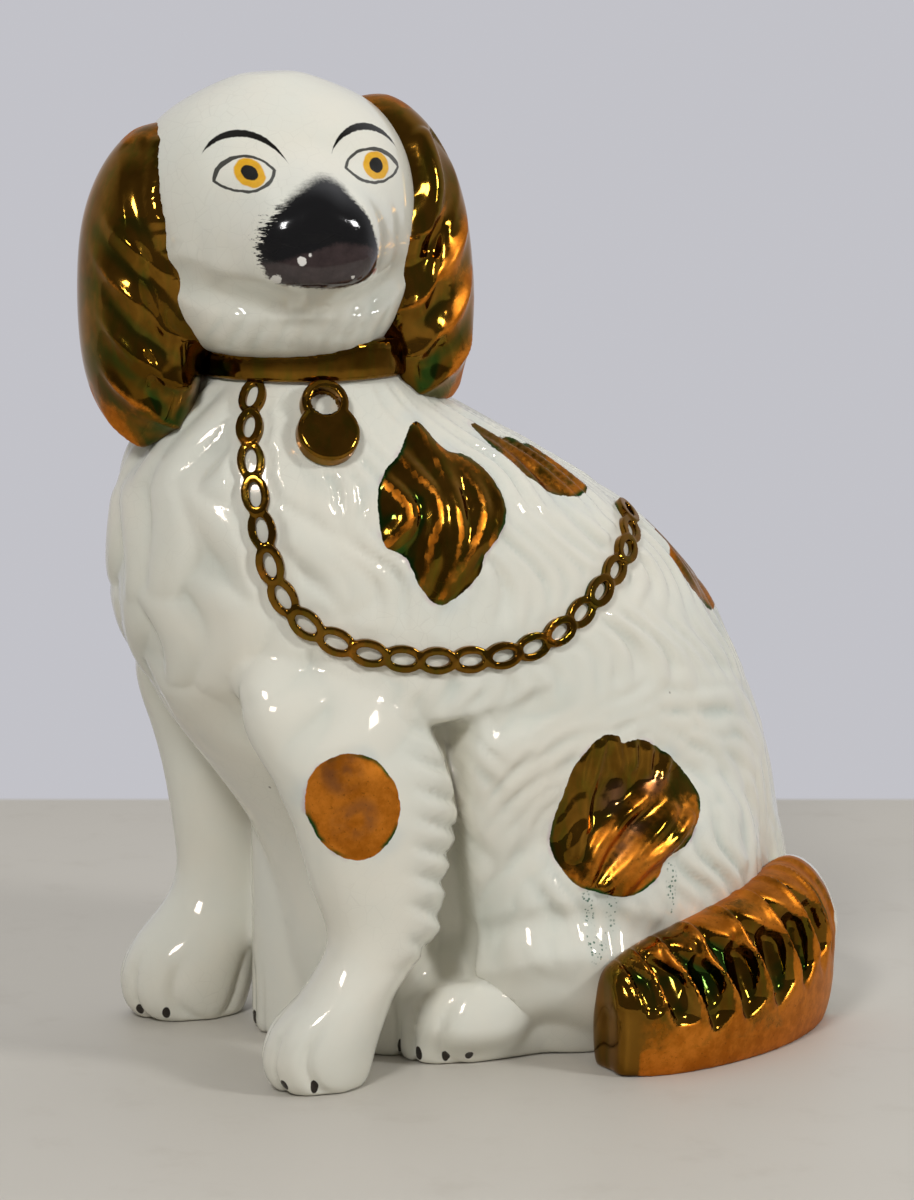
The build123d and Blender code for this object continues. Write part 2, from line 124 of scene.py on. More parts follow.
def settle(piece, points):
    """Put the points of a skin, in millimetres, back."""
    piece.data.vertices.foreach_set("co", (points / MM).astype(np.float32).ravel())
    piece.data.update()


def keep(piece, name, values):
    """Keep one number for each point of a skin, for its material."""
    piece.data.attributes.new(name, "FLOAT", "POINT").data.foreach_set("value", values.astype(np.float32))


def ramp(values, start, end):
    """A soft step from 0 at start to 1 at end."""
    share = np.clip((values - start) / (end - start), 0, 1)
    return share * share * (3 - 2 * share)


def mottle(points, size, seed=0.0):
    """Slow random change over a skin, from about -1 to 1, in patches of a size."""
    return np.array([noise.noise(place) for place in (points / size + seed).tolist()]) * NOISE_SPREAD


def locks(turns):
    """Locks of hair across a surface, one for each turn: 1 on a lock and 0 in the groove beside it."""
    return np.abs(np.sin(np.pi * turns)) ** LOCK_ROUND


def tufts(across, down, wide, long, bend=0.42):
    """Overlapping locks in staggered rows, each an S with a round back and a thin tip: height from 0 to 1."""
    height = np.zeros_like(across)
    by_row, by_column, spread = TUFT_CHANCE
    for row_step in (-1, 0):
        row = np.floor(down / (TUFT_ROW * long)) + row_step
        share = (down - row * TUFT_ROW * long) / long
        shift = 0.5 * (row % 2)
        for column_step in (-1, 0, 1):
            column = np.floor(across / wide + shift) + column_step
            chance = np.modf(np.abs(np.sin(row * by_row + column * by_column)) * spread)[0]
            middle = (column + 0.5 - shift + bend * np.sin(2 * np.pi * (0.85 * share + chance))) * wide
            half = wide * (0.68 - 0.34 * share)
            back = np.clip(1 - ((across - middle) / half) ** 2, 0, 1) ** 0.75
            rise = ramp(share, 0.02, 0.3) * ramp(share, 1.0, 0.72) * (0.65 + 0.35 * chance)
            height = np.maximum(height, back * rise)
    return height


def drawn(corners, closed):
    """A smooth line through a few places, as a hand draws it."""
    corners = np.array(corners, float)
    if closed:
        before, after, beyond = np.roll(corners, 1, 0), np.roll(corners, -1, 0), np.roll(corners, -2, 0)
    else:
        spread = np.concatenate((2 * corners[:1] - corners[1:2], corners, 2 * corners[-1:] - corners[-2:-1]))
        before, corners, after, beyond = spread[:-3], spread[1:-2], spread[2:-1], spread[3:]
    line = []
    for share in np.arange(0, 1, CURVE_STEP):
        line.append(0.5 * (2 * corners + (after - before) * share
                           + (2 * before - 5 * corners + 4 * after - beyond) * share ** 2
                           + (3 * corners - before - 3 * after + beyond) * share ** 3))
    line = np.stack(line, 1).reshape(-1, 2)
    return np.concatenate((line, line[:1] if closed else after[-1:]))


def gap_to(spots, line):
    """How far flat spots lie from a line."""
    way = np.diff(line, axis=0)
    offset = spots[:, None, :] - line[:-1]
    share = np.clip((offset * way).sum(2) / (way * way).sum(1), 0, 1)
    return np.sqrt(((offset - share[..., None] * way) ** 2).sum(2)).min(1)


def painted(spots, near, corners):
    """Signed distance in millimetres into a painted patch, from the corners of its outline, at spots that are near."""
    edge = drawn(corners, True)
    near = np.nonzero(near & (np.abs(spots - edge.mean(0)).max(1) < PATCH_REACH))[0]
    depth = np.full(len(spots), PATCH_FAR)
    spot = spots[near]
    start, end = edge[:-1], edge[1:]
    crosses = (start[:, 1] > spot[:, None, 1]) != (end[:, 1] > spot[:, None, 1])
    slope = (end[:, 0] - start[:, 0]) / np.where(end[:, 1] == start[:, 1], 1e-9, end[:, 1] - start[:, 1])
    within = (crosses & (spot[:, None, 0] < start[:, 0] + (spot[:, None, 1] - start[:, 1]) * slope)).sum(1) % 2 == 1
    depth[near] = np.where(within, 1, -1) * gap_to(spot, edge)
    return depth


def strokes(spots, near, paths, radius):
    """Raised or painted strokes along paths, at spots that are near: 1 on a path and 0 from the radius outwards."""
    height = np.zeros(len(spots))
    for path in paths:
        line = drawn(path, False)
        reached = np.nonzero(near & (np.abs(spots - line.mean(0)).max(1) < STROKE_REACH))[0]
        height[reached] = np.maximum(height[reached], np.clip(1 - (gap_to(spots[reached], line) / radius) ** 2, 0, 1))
    return height


# Plugs, in metres: the place of each, its radius and its depth
VENT, VENT_PLUG = (0.0462, 0.0, 0.0035), (0.006, 0.0065)
NECK, NECK_PLUG = (-0.0589, 0.0, 0.2145), (0.0275, 0.005)
BODY_VOXEL = 0.00147
body = glazed_skin(
    "glazed_body", ("torso_left_half", "torso_right_half", "left_foreleg", "right_foreleg", "base_slab"), BODY_VOXEL,
    ((VENT, *VENT_PLUG), (NECK, *NECK_PLUG)))
relax(body, 10)


def faces_of(mesh):
    """A search tree over the faces of a mesh, in metres."""
    return BVHTree.FromPolygons([v.co for v in mesh.vertices], [p.vertices for p in mesh.polygons])


def nearness(points, *nodes):
    """How far each point is from some CAD nodes, in millimetres."""
    gaps = []
    for node in nodes:
        faces = faces_of(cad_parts[node].data)
        gaps.append([faces.find_nearest(spot)[3] * MM for spot in (points / MM).tolist()])
    return np.min(gaps, 0)


# The trunk's middle line, and how far round it each point lies: 0 at the breast, a quarter turn on the left flank
place, facing = surface(body)
along, aside, up = place.T
flat = place[:, (0, 2)]
left_side = aside < -8
middle = np.interp(up, (0, 45, 89, 108, 132, 157, 176, 189, 202, 217),
                   (25, 22, 6, -5, -18, -31, -43, -51, -57, -59))
girth = np.hypot(along - middle, aside)
whirl = (np.arctan2(-aside, middle - along) + np.arctan2(-aside / 63, (middle - along) / 97)) / 2
breast = ramp(np.abs(whirl), 1.25, 0.85)

# Hair: heavy S-shaped locks on the breast, thin wavy ones that fall from the spine on flanks and back, and curved
# ones round the haunches. Each kind has a width and a length, in millimetres, and a bend.
CURL, FRINGE, ARC = (17, 58), (6.4, 66, 0.22), (7.2, 42, 0.25)
CURL_RISE, COAT_RISE, HAUNCH_LOWER = 3.8, 2.3, 1.1
NECK_LEVEL = 217
TRUNK_RADIUS, HAUNCH_RADIUS = 58, 65
HAUNCH_ALONG, HAUNCH_UP = 28, 50
drift = mottle(place, 42)
strength = np.clip(1.0 + 0.45 * mottle(place, 26, 7.3), 0.5, 1.4)
down = (NECK_LEVEL - up) * 1.12
curls = tufts(TRUNK_RADIUS * whirl + 4 * drift, down + 3 * drift, *CURL)
swayed = TRUNK_RADIUS * whirl + 2.8 * np.sin(2 * np.pi * down / 41 + 1.5 * drift) + 2 * drift
fringe = tufts(swayed, down + 6 * drift, *FRINGE)
from_haunch = np.hypot(along - HAUNCH_ALONG, (up - HAUNCH_UP) * 1.05)
haunch = ramp(from_haunch, 30, 44) * ramp(from_haunch, 92, 74) * ramp(along, -34, -16) * ramp(up, 124, 104)
swirl = HAUNCH_RADIUS * np.arctan2(up - HAUNCH_UP, along - HAUNCH_ALONG)
arcs = tufts(from_haunch + 1.6 * np.sin(swirl / 9 + drift) + 2.5 * drift, swirl + 5 * drift, *ARC)
free = ramp(up, 92, 124) * ramp(along, -26, -34) + ramp(along, -34, -26)
free = free * ramp(up, 22, 40) * ramp(girth, 24, 45)
bare = ramp(nearness(place, "collar", "padlock", "chain"), 1, 4)
coat = fringe * (1 - haunch) + haunch * arcs
relief = (COAT_RISE - HAUNCH_LOWER * haunch) * strength * (1 - breast) * (coat - 0.45)
relief = relief + breast * (CURL_RISE * curls - 1.5)
relief = relief * free * bare

# Feathering down the back edge of the left foreleg, in lobes with fine ribs, and the same on the right one
FEATHER_STEP, FEATHER_RISE = 9.6, 2.9
off_left_leg = nearness(place, "left_foreleg")
on_leg = np.maximum(ramp(off_left_leg, 3.0, 1.2), ramp(nearness(place, "right_foreleg"), 3.0, 1.2))
lobe = on_leg * ramp(along, -60, -43) * ramp(up, 30, 40) * ramp(up, 118, 108)
wave = (up + 0.45 * (along + 44) + 1.5 * drift - 3) / FEATHER_STEP
relief = relief + lobe * (FEATHER_RISE * locks(wave) - 1.5 + 0.3 * np.sin(2 * np.pi * wave * 2.0))

# The hollow between the left foreleg and the haunch, with the haunch's front edge rolled over it and a ledge above
HOLLOW_DEPTH, LIP_RISE, LEDGE_DEPTH = 14, 2.6, 2.4
edge_along = np.interp(up, (20, 37, 51, 66, 82, 95, 106), (-27, -28, -30, -33.5, -36.5, -38, -37))
behind_edge = along - edge_along
off_leg = ramp(off_left_leg, 1.0, 3.5) * ramp(aside, -22, -34)
hollow = ramp(behind_edge, -13, -4) * ramp(behind_edge, 6.5, 2.0) * ramp(up, 20, 34) * ramp(up, 112, 101) * off_leg
lip = ramp(behind_edge, 3, 10) * ramp(behind_edge, 40, 14) * ramp(up, 26, 40) * ramp(up, 114, 98) * off_leg
ledge = strokes(flat, aside < -30, (((-37, 105.5), (-30, 107.5), (-22, 109), (-12, 112.5), (-2, 115)),), 5.5)
relief = relief - HOLLOW_DEPTH * hollow + LIP_RISE * lip - LEDGE_DEPTH * ledge * off_leg * ramp(along, -2, -14)

# The left hind foot stands out under the haunch, with a crease above it
FOOT_RISE, CREASE_DEPTH = 5.5, 1.6
foot_spots = ((-26, 12), (-18, 22), (-8, 28), (4, 28), (16, 23), (26, 15))
crease_spots = ((-20, 38), (-8, 43), (6, 43), (18, 40), (28, 36))
hind_foot = ramp(strokes(flat, aside < -20, (foot_spots,), 18), 0, 1) * off_leg
crease = ramp(strokes(flat, aside < -20, (crease_spots,), 8), 0, 1) * off_leg
relief = relief + FOOT_RISE * hind_foot * ramp(up, 2, 12) - CREASE_DEPTH * crease

# Toes: three grooves over the front of every paw
TOE_DEPTH, TOE_SHARE = 2.4, 0.62
for toe_along, toe_aside, toe_reach in ((-62, -47, 16), (-62, 53, 16), (-14, -34, 13), (-14, 34, 13)):
    paw = ramp(along, toe_along - 10, toe_along - 22) * ramp(up, 26, 12) * ramp(np.abs(aside - toe_aside), 22, 18)
    paw = paw * ramp(along, toe_along - 60, toe_along - 50)
    relief = relief - paw * TOE_DEPTH * (1 - locks((aside - toe_aside) / (toe_reach * TOE_SHARE) + 0.5)) ** 2

# Lustre patches: on the shoulder, the back, the spine, the foreleg and the haunch
shoulder_patch = painted(flat, left_side, (
    (-40.6, 198), (-34, 190), (-25, 186.5), (-18.5, 177), (-19.5, 168), (-27, 160), (-31, 152), (-42.5, 145.6),
    (-49, 152), (-52.5, 160), (-59, 164.5), (-60, 173), (-57.8, 182.5), (-50.5, 189)))
back_patch = painted(flat, left_side, (
    (-17.5, 195), (-6, 190.5), (6, 186), (16, 180.5), (24, 173), (13, 171.6), (1, 176), (-8, 184)))
leg_patch = painted(flat, aside < -44, (
    (-79, 104), (-67, 101), (-60.5, 89), (-63.5, 78), (-73, 71.5), (-84, 75), (-91, 86), (-89.5, 98)))
haunch_patch = painted(flat, left_side, (
    (1, 91), (5, 97), (11, 101.5), (17, 101), (19, 98.5), (27, 98.5), (40, 90), (47.5, 79), (44, 70), (38, 64.5),
    (31, 62), (28.5, 57), (21, 52.5), (14.5, 52.3), (9.5, 53.5), (2, 56.5), (-3.5, 65), (-4, 75)))
spine_patch = 9 - np.hypot(np.hypot((along - 62) / 1.9, (up - 139) / 2.2), (aside + 12) / 2.2)
for patch in (shoulder_patch, leg_patch, haunch_patch):
    relief = relief * (1 - ramp(patch, -2.5, 1.5))
shoulder_ridges = strokes(flat, left_side, (
    ((-57.3, 183), (-51, 172.5), (-59, 164.5)),
    ((-50, 188.8), (-46.5, 183.5), (-42, 178.5), (-41.5, 172), (-45, 163.5), (-48.5, 151.5)),
    ((-40.6, 196.5), (-35.5, 168.5), (-42.5, 147.5)), ((-36, 191), (-26, 174), (-38.5, 152.5)),
    ((-32, 188.5), (-19.2, 176.5), (-25.6, 162.5))), 4.2)
haunch_ridges = strokes(flat, left_side, (
    ((2, 66), (4.5, 76), (5.5, 84)), ((4.5, 56), (9.5, 67.5), (18, 75.7), (26, 80)),
    ((9, 53.5), (16.5, 60.5), (25, 68), (36, 76)), ((15.7, 53.5), (23.5, 61.5), (35, 67), (42, 73)),
    ((15.1, 100.7), (18.1, 92.1)), ((22.1, 99.8), (23.2, 91.3)),
    ((29.1, 97.3), (28.2, 88.8)), ((37.3, 93), (34.2, 85.3)),
    ((5.1, 98), (3, 81), (-3, 72.6)), ((11, 99), (7, 82.8), (5, 73.4))), 2.6)
lumps = strokes(flat, left_side, (
    ((14.5, 80.5), (15.5, 82), (16.5, 83.5)), ((28.5, 82.5), (29.5, 83.5), (31, 84.5))), 4.5)
relief = relief + ramp(shoulder_patch, -1.5, 1.2) * (0.3 + 0.7 * shoulder_ridges)
relief = relief + ramp(haunch_patch, -1.5, 1.2) * (0.2 + 1.5 * haunch_ridges + 1.5 * lumps)
place = place + facing * relief[:, None]

# The left foreleg is drawn in towards the ankle and the paw, across the way it is seen from the front of the flank
ACROSS = np.array((0.883, -0.4695, 0))
on_left_leg = ramp(off_left_leg, 3.5, 1.5)
reach_across = place @ ACROSS
levels = np.arange(0, 124, 4.0)
leg_low, leg_high = np.array([np.quantile(reach_across[(off_left_leg < 1.5) & (np.abs(up - level) < 4)], (0, 1))
                              for level in levels]).T
share = np.clip((reach_across - np.interp(up, levels, leg_low)) / np.interp(up, levels, leg_high - leg_low), 0, 1)
front_in = np.interp(up, (0, 10, 19, 27, 36, 61, 81, 95, 118), (1.0, 1.5, 3.0, 6.0, 5.0, 5.0, 6.5, 5.5, 0.0))
back_in = np.interp(up, (0, 10, 19, 27, 36, 46, 58), (6.5, 6.5, 6.0, 6.5, 6.0, 2.0, 0.0))
place = place + (on_left_leg * (front_in * (1 - share) - back_in * share))[:, None] * ACROSS

# The foot stands round the base slab, which closes the hollow from below
BELOW, VENT_CLEAR = -0.01, 0.0055
SLAB_LIFT, VENT_LIFT = 7.5, 30
slab_faces = faces_of(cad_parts["base_slab"].data)
for index in np.nonzero(place[:, 2] < 2)[0]:
    spot = Vector((place[index, 0] / MM, place[index, 1] / MM, BELOW))
    over_vent = math.hypot(spot.x - VENT[0], spot.y - VENT[1]) < VENT_CLEAR
    if over_vent or slab_faces.ray_cast(spot, Vector((0, 0, 1)))[0] is not None:
        place[index, 2] += VENT_LIFT if over_vent else SLAB_LIFT
place[:, 2] = np.maximum(place[:, 2], 0)
settle(body, place)
relax(body, 1)

keep(body, "lustre", np.max((shoulder_patch, back_patch, leg_patch, haunch_patch, spine_patch), 0))
keep(body, "ridge", np.where(
    shoulder_patch > -2, shoulder_ridges, np.where(haunch_patch > -2, np.maximum(haunch_ridges, 0.3), 0.7)))
rubbed_below = np.interp(along, (-5, 4, 13, 22, 35, 46), (63, 70, 78, 86.5, 88, 82))
keep(body, "rub", np.where(shoulder_patch > -2, 0.54 * ramp(shoulder_ridges, 0.78, 0.97), np.where(
    haunch_patch > -2, 0.52 * ramp(rubbed_below - up, -3, 4), np.where(leg_patch > -2, 1.0, 0.5))))
keep(body, "smoke", np.maximum(strokes(flat, aside < -44, (
    ((-81, 97.5), (-79.5, 98.5), (-78, 99)), ((-79, 83), (-76.5, 84), (-74, 85))), 6.5),
    np.maximum(lumps, strokes(flat, left_side, (((12, 64), (18, 69), (26, 76)), ((26, 60), (33, 64))), 3.2))))
keep(body, "drip", strokes(flat, aside < -30, (
    ((5, 53), (6, 45), (6.5, 37), (7.2, 34.5)), ((8, 37), (12, 40), (14.5, 42)), ((12.8, 53), (13, 46), (13.2, 41)),
    ((33, 63), (33.2, 54), (32.7, 45))), 2.4))
# Pooled glaze and painted shade: grooves between the locks, the ledge over the hollow and the gaps between the
# feathering lobes
keep(body, "pooled_glaze_and_shade", np.clip(free * bare * (strength * (1 - breast) * (1 - coat) ** 2 + breast * 0.8 * (1 - curls) ** 2)
                           + 0.5 * ledge + 0.4 * lobe * (1 - locks(wave)), 0, 1))


def part(tree, kind, *values, **settings):
    """A node with its settings, and with values or sockets given to its inputs in order."""
    node = tree.nodes.new(kind)
    for name, value in settings.items():
        setattr(node, name, value)
    for socket, value in zip(node.inputs, values):
        if isinstance(value, bpy.types.NodeSocket):
            tree.links.new(value, socket)
        elif value is not None:
            socket.default_value = value
    return node


def feed(node, name, value):
    """Lead a value to a named input of a node."""
    node.id_data.links.new(value, node.inputs[name])


def sum_of(tree, operation, *values):
    """One step of arithmetic on masks."""
    return part(tree, "ShaderNodeMath", *values, operation=operation).outputs[0]


def times(tree, first, second):
    """Two masks multiplied."""
    return sum_of(tree, "MULTIPLY", first, second)


def vector_of(tree, operation, *values):
    """One step of arithmetic on places."""
    outputs = part(tree, "ShaderNodeVectorMath", *values, operation=operation).outputs
    return outputs["Value" if operation in ("LENGTH", "DOT_PRODUCT") else "Vector"]


def spot_in(tree):
    """The places on a piece, in metres."""
    return part(tree, "ShaderNodeTexCoord").outputs["Object"]


def moved(tree, place, turn=(0, 0, 0), scale=(1, 1, 1), shift=(0, 0, 0)):
    """Places scaled, turned and shifted."""
    return part(tree, "ShaderNodeMapping", place, shift, turn, scale).outputs[0]


def step(tree, value, start, end):
    """A soft step from 0 at start to 1 at end, in a material."""
    return part(tree, "ShaderNodeMapRange", value, start, end, 0.0, 1.0, interpolation_type="SMOOTHSTEP").outputs[0]


def tint(tree, share, under, over, most=None):
    """One colour laid over another by a mask, or by a share or a mask of that mask."""
    if most is not None:
        share = times(tree, share, most)
    node = part(tree, "ShaderNodeMix", share, data_type="RGBA")
    for socket, colour in ((node.inputs[6], under), (node.inputs[7], over)):
        if isinstance(colour, bpy.types.NodeSocket):
            tree.links.new(colour, socket)
        else:
            socket.default_value = (*colour, 1)
    return node.outputs[2]


def cloud(tree, place, scale, detail=2.0, rough=0.5):
    """Random mottling in a material, from 0 to 1."""
    return part(tree, "ShaderNodeTexNoise", place, None, scale, detail, rough).outputs[0]


def effect(name, inputs, outputs):
    """An empty node group with named sockets, and the nodes that hold them."""
    tree = bpy.data.node_groups.new(name, "ShaderNodeTree")
    for socket, kind in inputs:
        tree.interface.new_socket(socket, in_out="INPUT", socket_type=kind)
    for socket, kind in outputs:
        tree.interface.new_socket(socket, in_out="OUTPUT", socket_type=kind)
    return tree, tree.nodes.new("NodeGroupInput"), tree.nodes.new("NodeGroupOutput")


# White lead glaze: warm white where thin, blue-green and darker where it pools in grooves (partly the glaze's own
# tint, partly painted shade), finely crazed, with a few dark specks
WHITE_COOL, WHITE_WARM = (0.715, 0.715, 0.635), (0.745, 0.72, 0.625)
# Colour of pooled glaze, darker than the white so that it also serves as painted shade in grooves
POOLED_AND_SHADED, CRAZE = (0.50, 0.56, 0.51), (0.42, 0.40, 0.34)
SPECK = (0.12, 0.10, 0.08)
CRAZE_CELLS, SPECK_CELLS = 210.0, 75.0
glaze, given, put = effect("white_glaze", (("Pool_And_Shade", "NodeSocketFloat"),), (
    ("Color", "NodeSocketColor"), ("Roughness", "NodeSocketFloat"), ("Height", "NodeSocketFloat")))
spot = spot_in(glaze)
warm = step(glaze, cloud(glaze, spot, 22.0, 4.0, 0.6), 0.35, 0.7)
colour = tint(glaze, warm, WHITE_COOL, WHITE_WARM)
# Pooled glaze with painted shade: the grooves kept on the skin turn blue-green and darker
pooled_glaze_and_shade = times(glaze, given.outputs["Pool_And_Shade"], step(glaze, cloud(glaze, spot, 30.0, 3.0), 0.25, 0.75))
colour = tint(glaze, pooled_glaze_and_shade, colour, POOLED_AND_SHADED, 0.8)
crazing = part(glaze, "ShaderNodeTexVoronoi", spot, None, CRAZE_CELLS, feature="DISTANCE_TO_EDGE")
crazed = times(glaze, step(glaze, crazing.outputs["Distance"], 0.03, 0.0),
               step(glaze, cloud(glaze, spot, 14.0), 0.45, 0.7))
colour = tint(glaze, crazed, colour, CRAZE, 0.16)
speck = part(glaze, "ShaderNodeTexVoronoi", spot, None, SPECK_CELLS)
rare = sum_of(glaze, "GREATER_THAN", part(glaze, "ShaderNodeSeparateColor", speck.outputs["Color"]).outputs[0], 0.86)
speckled = times(glaze, step(glaze, speck.outputs["Distance"], 0.05, 0.02), rare)
colour = tint(glaze, speckled, colour, SPECK, 0.7)
feed(put, "Color", colour)
gloss = part(glaze, "ShaderNodeMapRange", cloud(glaze, spot, 60.0, 4.0), 0.3, 0.7, 0.06, 0.13)
feed(put, "Roughness", gloss.outputs[0])
ripple = sum_of(glaze, "SUBTRACT", cloud(glaze, spot, 90.0, 2.0), times(glaze, crazed, 0.08))
feed(put, "Height", ripple)

# Copper lustre: a thin film of metal over the glaze, dark olive brown where it is polished, green where it lies
# thick in the hollows, and speckled orange copper where it is rubbed or was fired dry
LUSTRE_DARK, LUSTRE_BROWN = (0.11, 0.052, 0.005), (0.23, 0.108, 0.014)
LUSTRE_OLIVE, LUSTRE_GREEN = (0.095, 0.088, 0.008), (0.016, 0.060, 0.010)
COPPER_DARK, COPPER_BRIGHT = (0.44, 0.132, 0.009), (0.66, 0.222, 0.024)
COPPER_GRAIN = (0.14, 0.044, 0.005)
lustre, given, put = effect("copper_lustre", (("Ridge", "NodeSocketFloat"), ("Rub", "NodeSocketFloat")), (
    ("Color", "NodeSocketColor"), ("Roughness", "NodeSocketFloat")))
spot = spot_in(lustre)
colour = tint(lustre, step(lustre, cloud(lustre, spot, 40.0, 4.0, 0.6), 0.35, 0.68), LUSTRE_DARK, LUSTRE_BROWN)
streaks = cloud(lustre, moved(lustre, spot, scale=(1.0, 1.0, 0.22)), 230.0, 3.0, 0.6)
colour = tint(lustre, step(lustre, streaks, 0.45, 0.7), colour, LUSTRE_OLIVE, 0.55)
thick = times(lustre, step(lustre, given.outputs["Ridge"], 0.45, 0.05),
              step(lustre, cloud(lustre, spot, 48.0, 3.0, 0.6), 0.42, 0.58))
colour = tint(lustre, thick, colour, LUSTRE_GREEN, 0.9)
worn = sum_of(lustre, "SUBTRACT", cloud(lustre, spot, 65.0, 4.0, 0.65), 0.5)
worn = sum_of(lustre, "ADD", worn, given.outputs["Rub"])
rubbed = step(lustre, worn, 0.42, 0.66)
copper = tint(lustre, step(lustre, cloud(lustre, spot, 110.0, 4.0, 0.7), 0.35, 0.65), COPPER_DARK, COPPER_BRIGHT)
grains = step(lustre, cloud(lustre, spot, 950.0, 2.0, 0.6), 0.62, 0.72)
copper = tint(lustre, grains, copper, COPPER_GRAIN, 0.5)
colour = tint(lustre, rubbed, colour, copper)
feed(put, "Color", colour)
matt = sum_of(lustre, "MULTIPLY_ADD", rubbed, 0.34, 0.05)
feed(put, "Roughness", sum_of(lustre, "MULTIPLY_ADD", cloud(lustre, spot, 160.0, 3.0), 0.09, matt))


def fired(name):
    """A new material with its tree and its shader."""
    material = bpy.data.materials.new(name)
    material.use_nodes = True
    return material, material.node_tree, material.node_tree.nodes["Principled BSDF"]


def placed(tree, group):
    """A shared effect placed in a material."""
    node = tree.nodes.new("ShaderNodeGroup")
    node.node_tree = group
    return node


def kept(tree, name):
    """A number kept on the skin's points, read in a material."""
    return part(tree, "ShaderNodeAttribute", attribute_name=name).outputs["Fac"]


LUSTRE_EDGE = (1.0, 0.84, 0.72, 1)
GLAZE_BUMP = (0.25, 0.0006)


def bumped(tree, shader, height, strength, depth):
    """Low relief in a material, from a height."""
    bump = part(tree, "ShaderNodeBump", strength, depth)
    feed(bump, "Height", height)
    feed(shader, "Normal", bump.outputs[0])


def lustred(tree, shader):
    """Copper lustre placed in a material, by the ridges and the rubbing kept on the skin."""
    metal = placed(tree, lustre)
    shader.inputs["Specular Tint"].default_value = LUSTRE_EDGE
    feed(metal, "Ridge", kept(tree, "ridge"))
    feed(metal, "Rub", kept(tree, "rub"))
    return metal


# Claws are dabs of black enamel on the toes, each set on the skin by a ray from inside its paw
CLAW_WIDTH, CLAW_HEIGHT, CLAW_LEVEL = 0.0013, 0.0024, 0.0035
skin_faces = faces_of(body.data)
claws = []
for paw_along, paw_aside, turns in (
        (-0.076, -0.047, (-38, -8, 24, 52)), (-0.076, 0.053, (-50, -20, 12, 45)),
        (-0.026, -0.034, (-14, 24, 56, 84)), (-0.026, 0.034, (-55, -20, 15, 48))):
    for turn in turns:
        way = Vector((-math.cos(math.radians(turn)), -math.sin(math.radians(turn)), 0))
        claws.append(skin_faces.ray_cast(Vector((paw_along, paw_aside, CLAW_LEVEL)), way)[0])

STAIN_BLUE, FUME_PINK = (0.50, 0.575, 0.585), (0.48, 0.33, 0.40)
DRIP_WASH, DRIP_GREEN = (0.42, 0.53, 0.50), (0.030, 0.120, 0.075)
RIM_GREEN, SMOKE_BROWN = (0.016, 0.070, 0.014), (0.17, 0.078, 0.042)
CLAW_BLACK = (0.012, 0.011, 0.010)
DRIP_CELLS = 850.0
body_finish, tree, shader = fired("glazed_body")
spot = spot_in(tree)
white = placed(tree, glaze)
# The white darkens by the pooled glaze and painted shade kept on the skin
feed(white, "Pool_And_Shade", kept(tree, "pooled_glaze_and_shade"))
metal = lustred(tree, shader)
edge = sum_of(tree, "SUBTRACT", kept(tree, "lustre"), 0.7)
edge = sum_of(tree, "MULTIPLY_ADD", cloud(tree, spot, 260.0, 3.0), 1.4, edge)
laid = step(tree, edge, -0.12, 0.12)
rim = times(tree, step(tree, edge, 1.6, 0.3), step(tree, cloud(tree, spot, 75.0), 0.42, 0.58))
stain = times(tree, step(tree, edge, -7.0, 0.0), step(tree, cloud(tree, spot, 70.0, 2.0), 0.42, 0.7))
clay = tint(tree, stain, white.outputs["Color"], STAIN_BLUE, 0.4)
fume = times(tree, step(tree, edge, -1.6, 0.0), step(tree, cloud(tree, spot, 110.0, 2.0), 0.5, 0.65))
clay = tint(tree, fume, clay, FUME_PINK, 0.5)
dots = part(tree, "ShaderNodeTexVoronoi", spot, None, DRIP_CELLS)
dripped = times(tree, step(tree, kept(tree, "drip"), 0.35, 0.8), step(tree, dots.outputs["Distance"], 0.42, 0.26))
dripped = times(tree, dripped, step(tree, cloud(tree, spot, 170.0), 0.42, 0.52))
clay = tint(tree, kept(tree, "drip"), clay, DRIP_WASH, 0.22)
clay = tint(tree, dripped, clay, DRIP_GREEN, 0.85)
film = tint(tree, rim, metal.outputs["Color"], RIM_GREEN)
smoke = times(tree, kept(tree, "smoke"), step(tree, cloud(tree, spot, 120.0, 3.0), 0.3, 0.6))
film = tint(tree, smoke, film, SMOKE_BROWN, 0.8)
colour = tint(tree, laid, clay, film)
nearest = None
for claw in claws:
    offset = vector_of(tree, "SUBTRACT", spot, tuple(claw))
    offset = vector_of(tree, "MULTIPLY", offset, (1 / CLAW_WIDTH, 1 / CLAW_WIDTH, 1 / CLAW_HEIGHT))
    gap = vector_of(tree, "LENGTH", offset)
    nearest = gap if nearest is None else sum_of(tree, "MINIMUM", nearest, gap)
colour = tint(tree, step(tree, nearest, 1.1, 0.9), colour, CLAW_BLACK)
feed(shader, "Base Color", colour)
feed(shader, "Metallic", laid)
rough = part(tree, "ShaderNodeMix", laid, None, white.outputs["Roughness"], metal.outputs["Roughness"])
feed(shader, "Roughness", rough.outputs[0])
bumped(tree, shader, white.outputs["Height"], *GLAZE_BUMP)
body.data.materials.append(body_finish)
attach(body, "root")
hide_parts("torso_left_half", "torso_right_half", "left_foreleg", "right_foreleg")

# Head: pressed in two hollow halves, luted together and set on the neck, glazed with the body.
# Eyes, brows and the muzzle are painted on with enamel colours after the glaze is fired.
HEAD_FOOT = Vector((-68.838, -6.3, 217.0))
FACE_LEFT = Vector((0.9734, -0.2247, 0.0436))
FACE_UP = Vector((-0.0425, 0.0098, 0.9990))
FACE_AHEAD = Vector((-0.2250, -0.9744, 0.0))
HEAD_VOXEL, NECK_TOP = 0.0011, (-0.0589, 0.0, 0.2195)
head = glazed_skin("glazed_head", ("head_face_half", "head_back_half"), HEAD_VOXEL, ((NECK_TOP, *NECK_PLUG),))
relax(head, 22)
place = surface(head)[0]


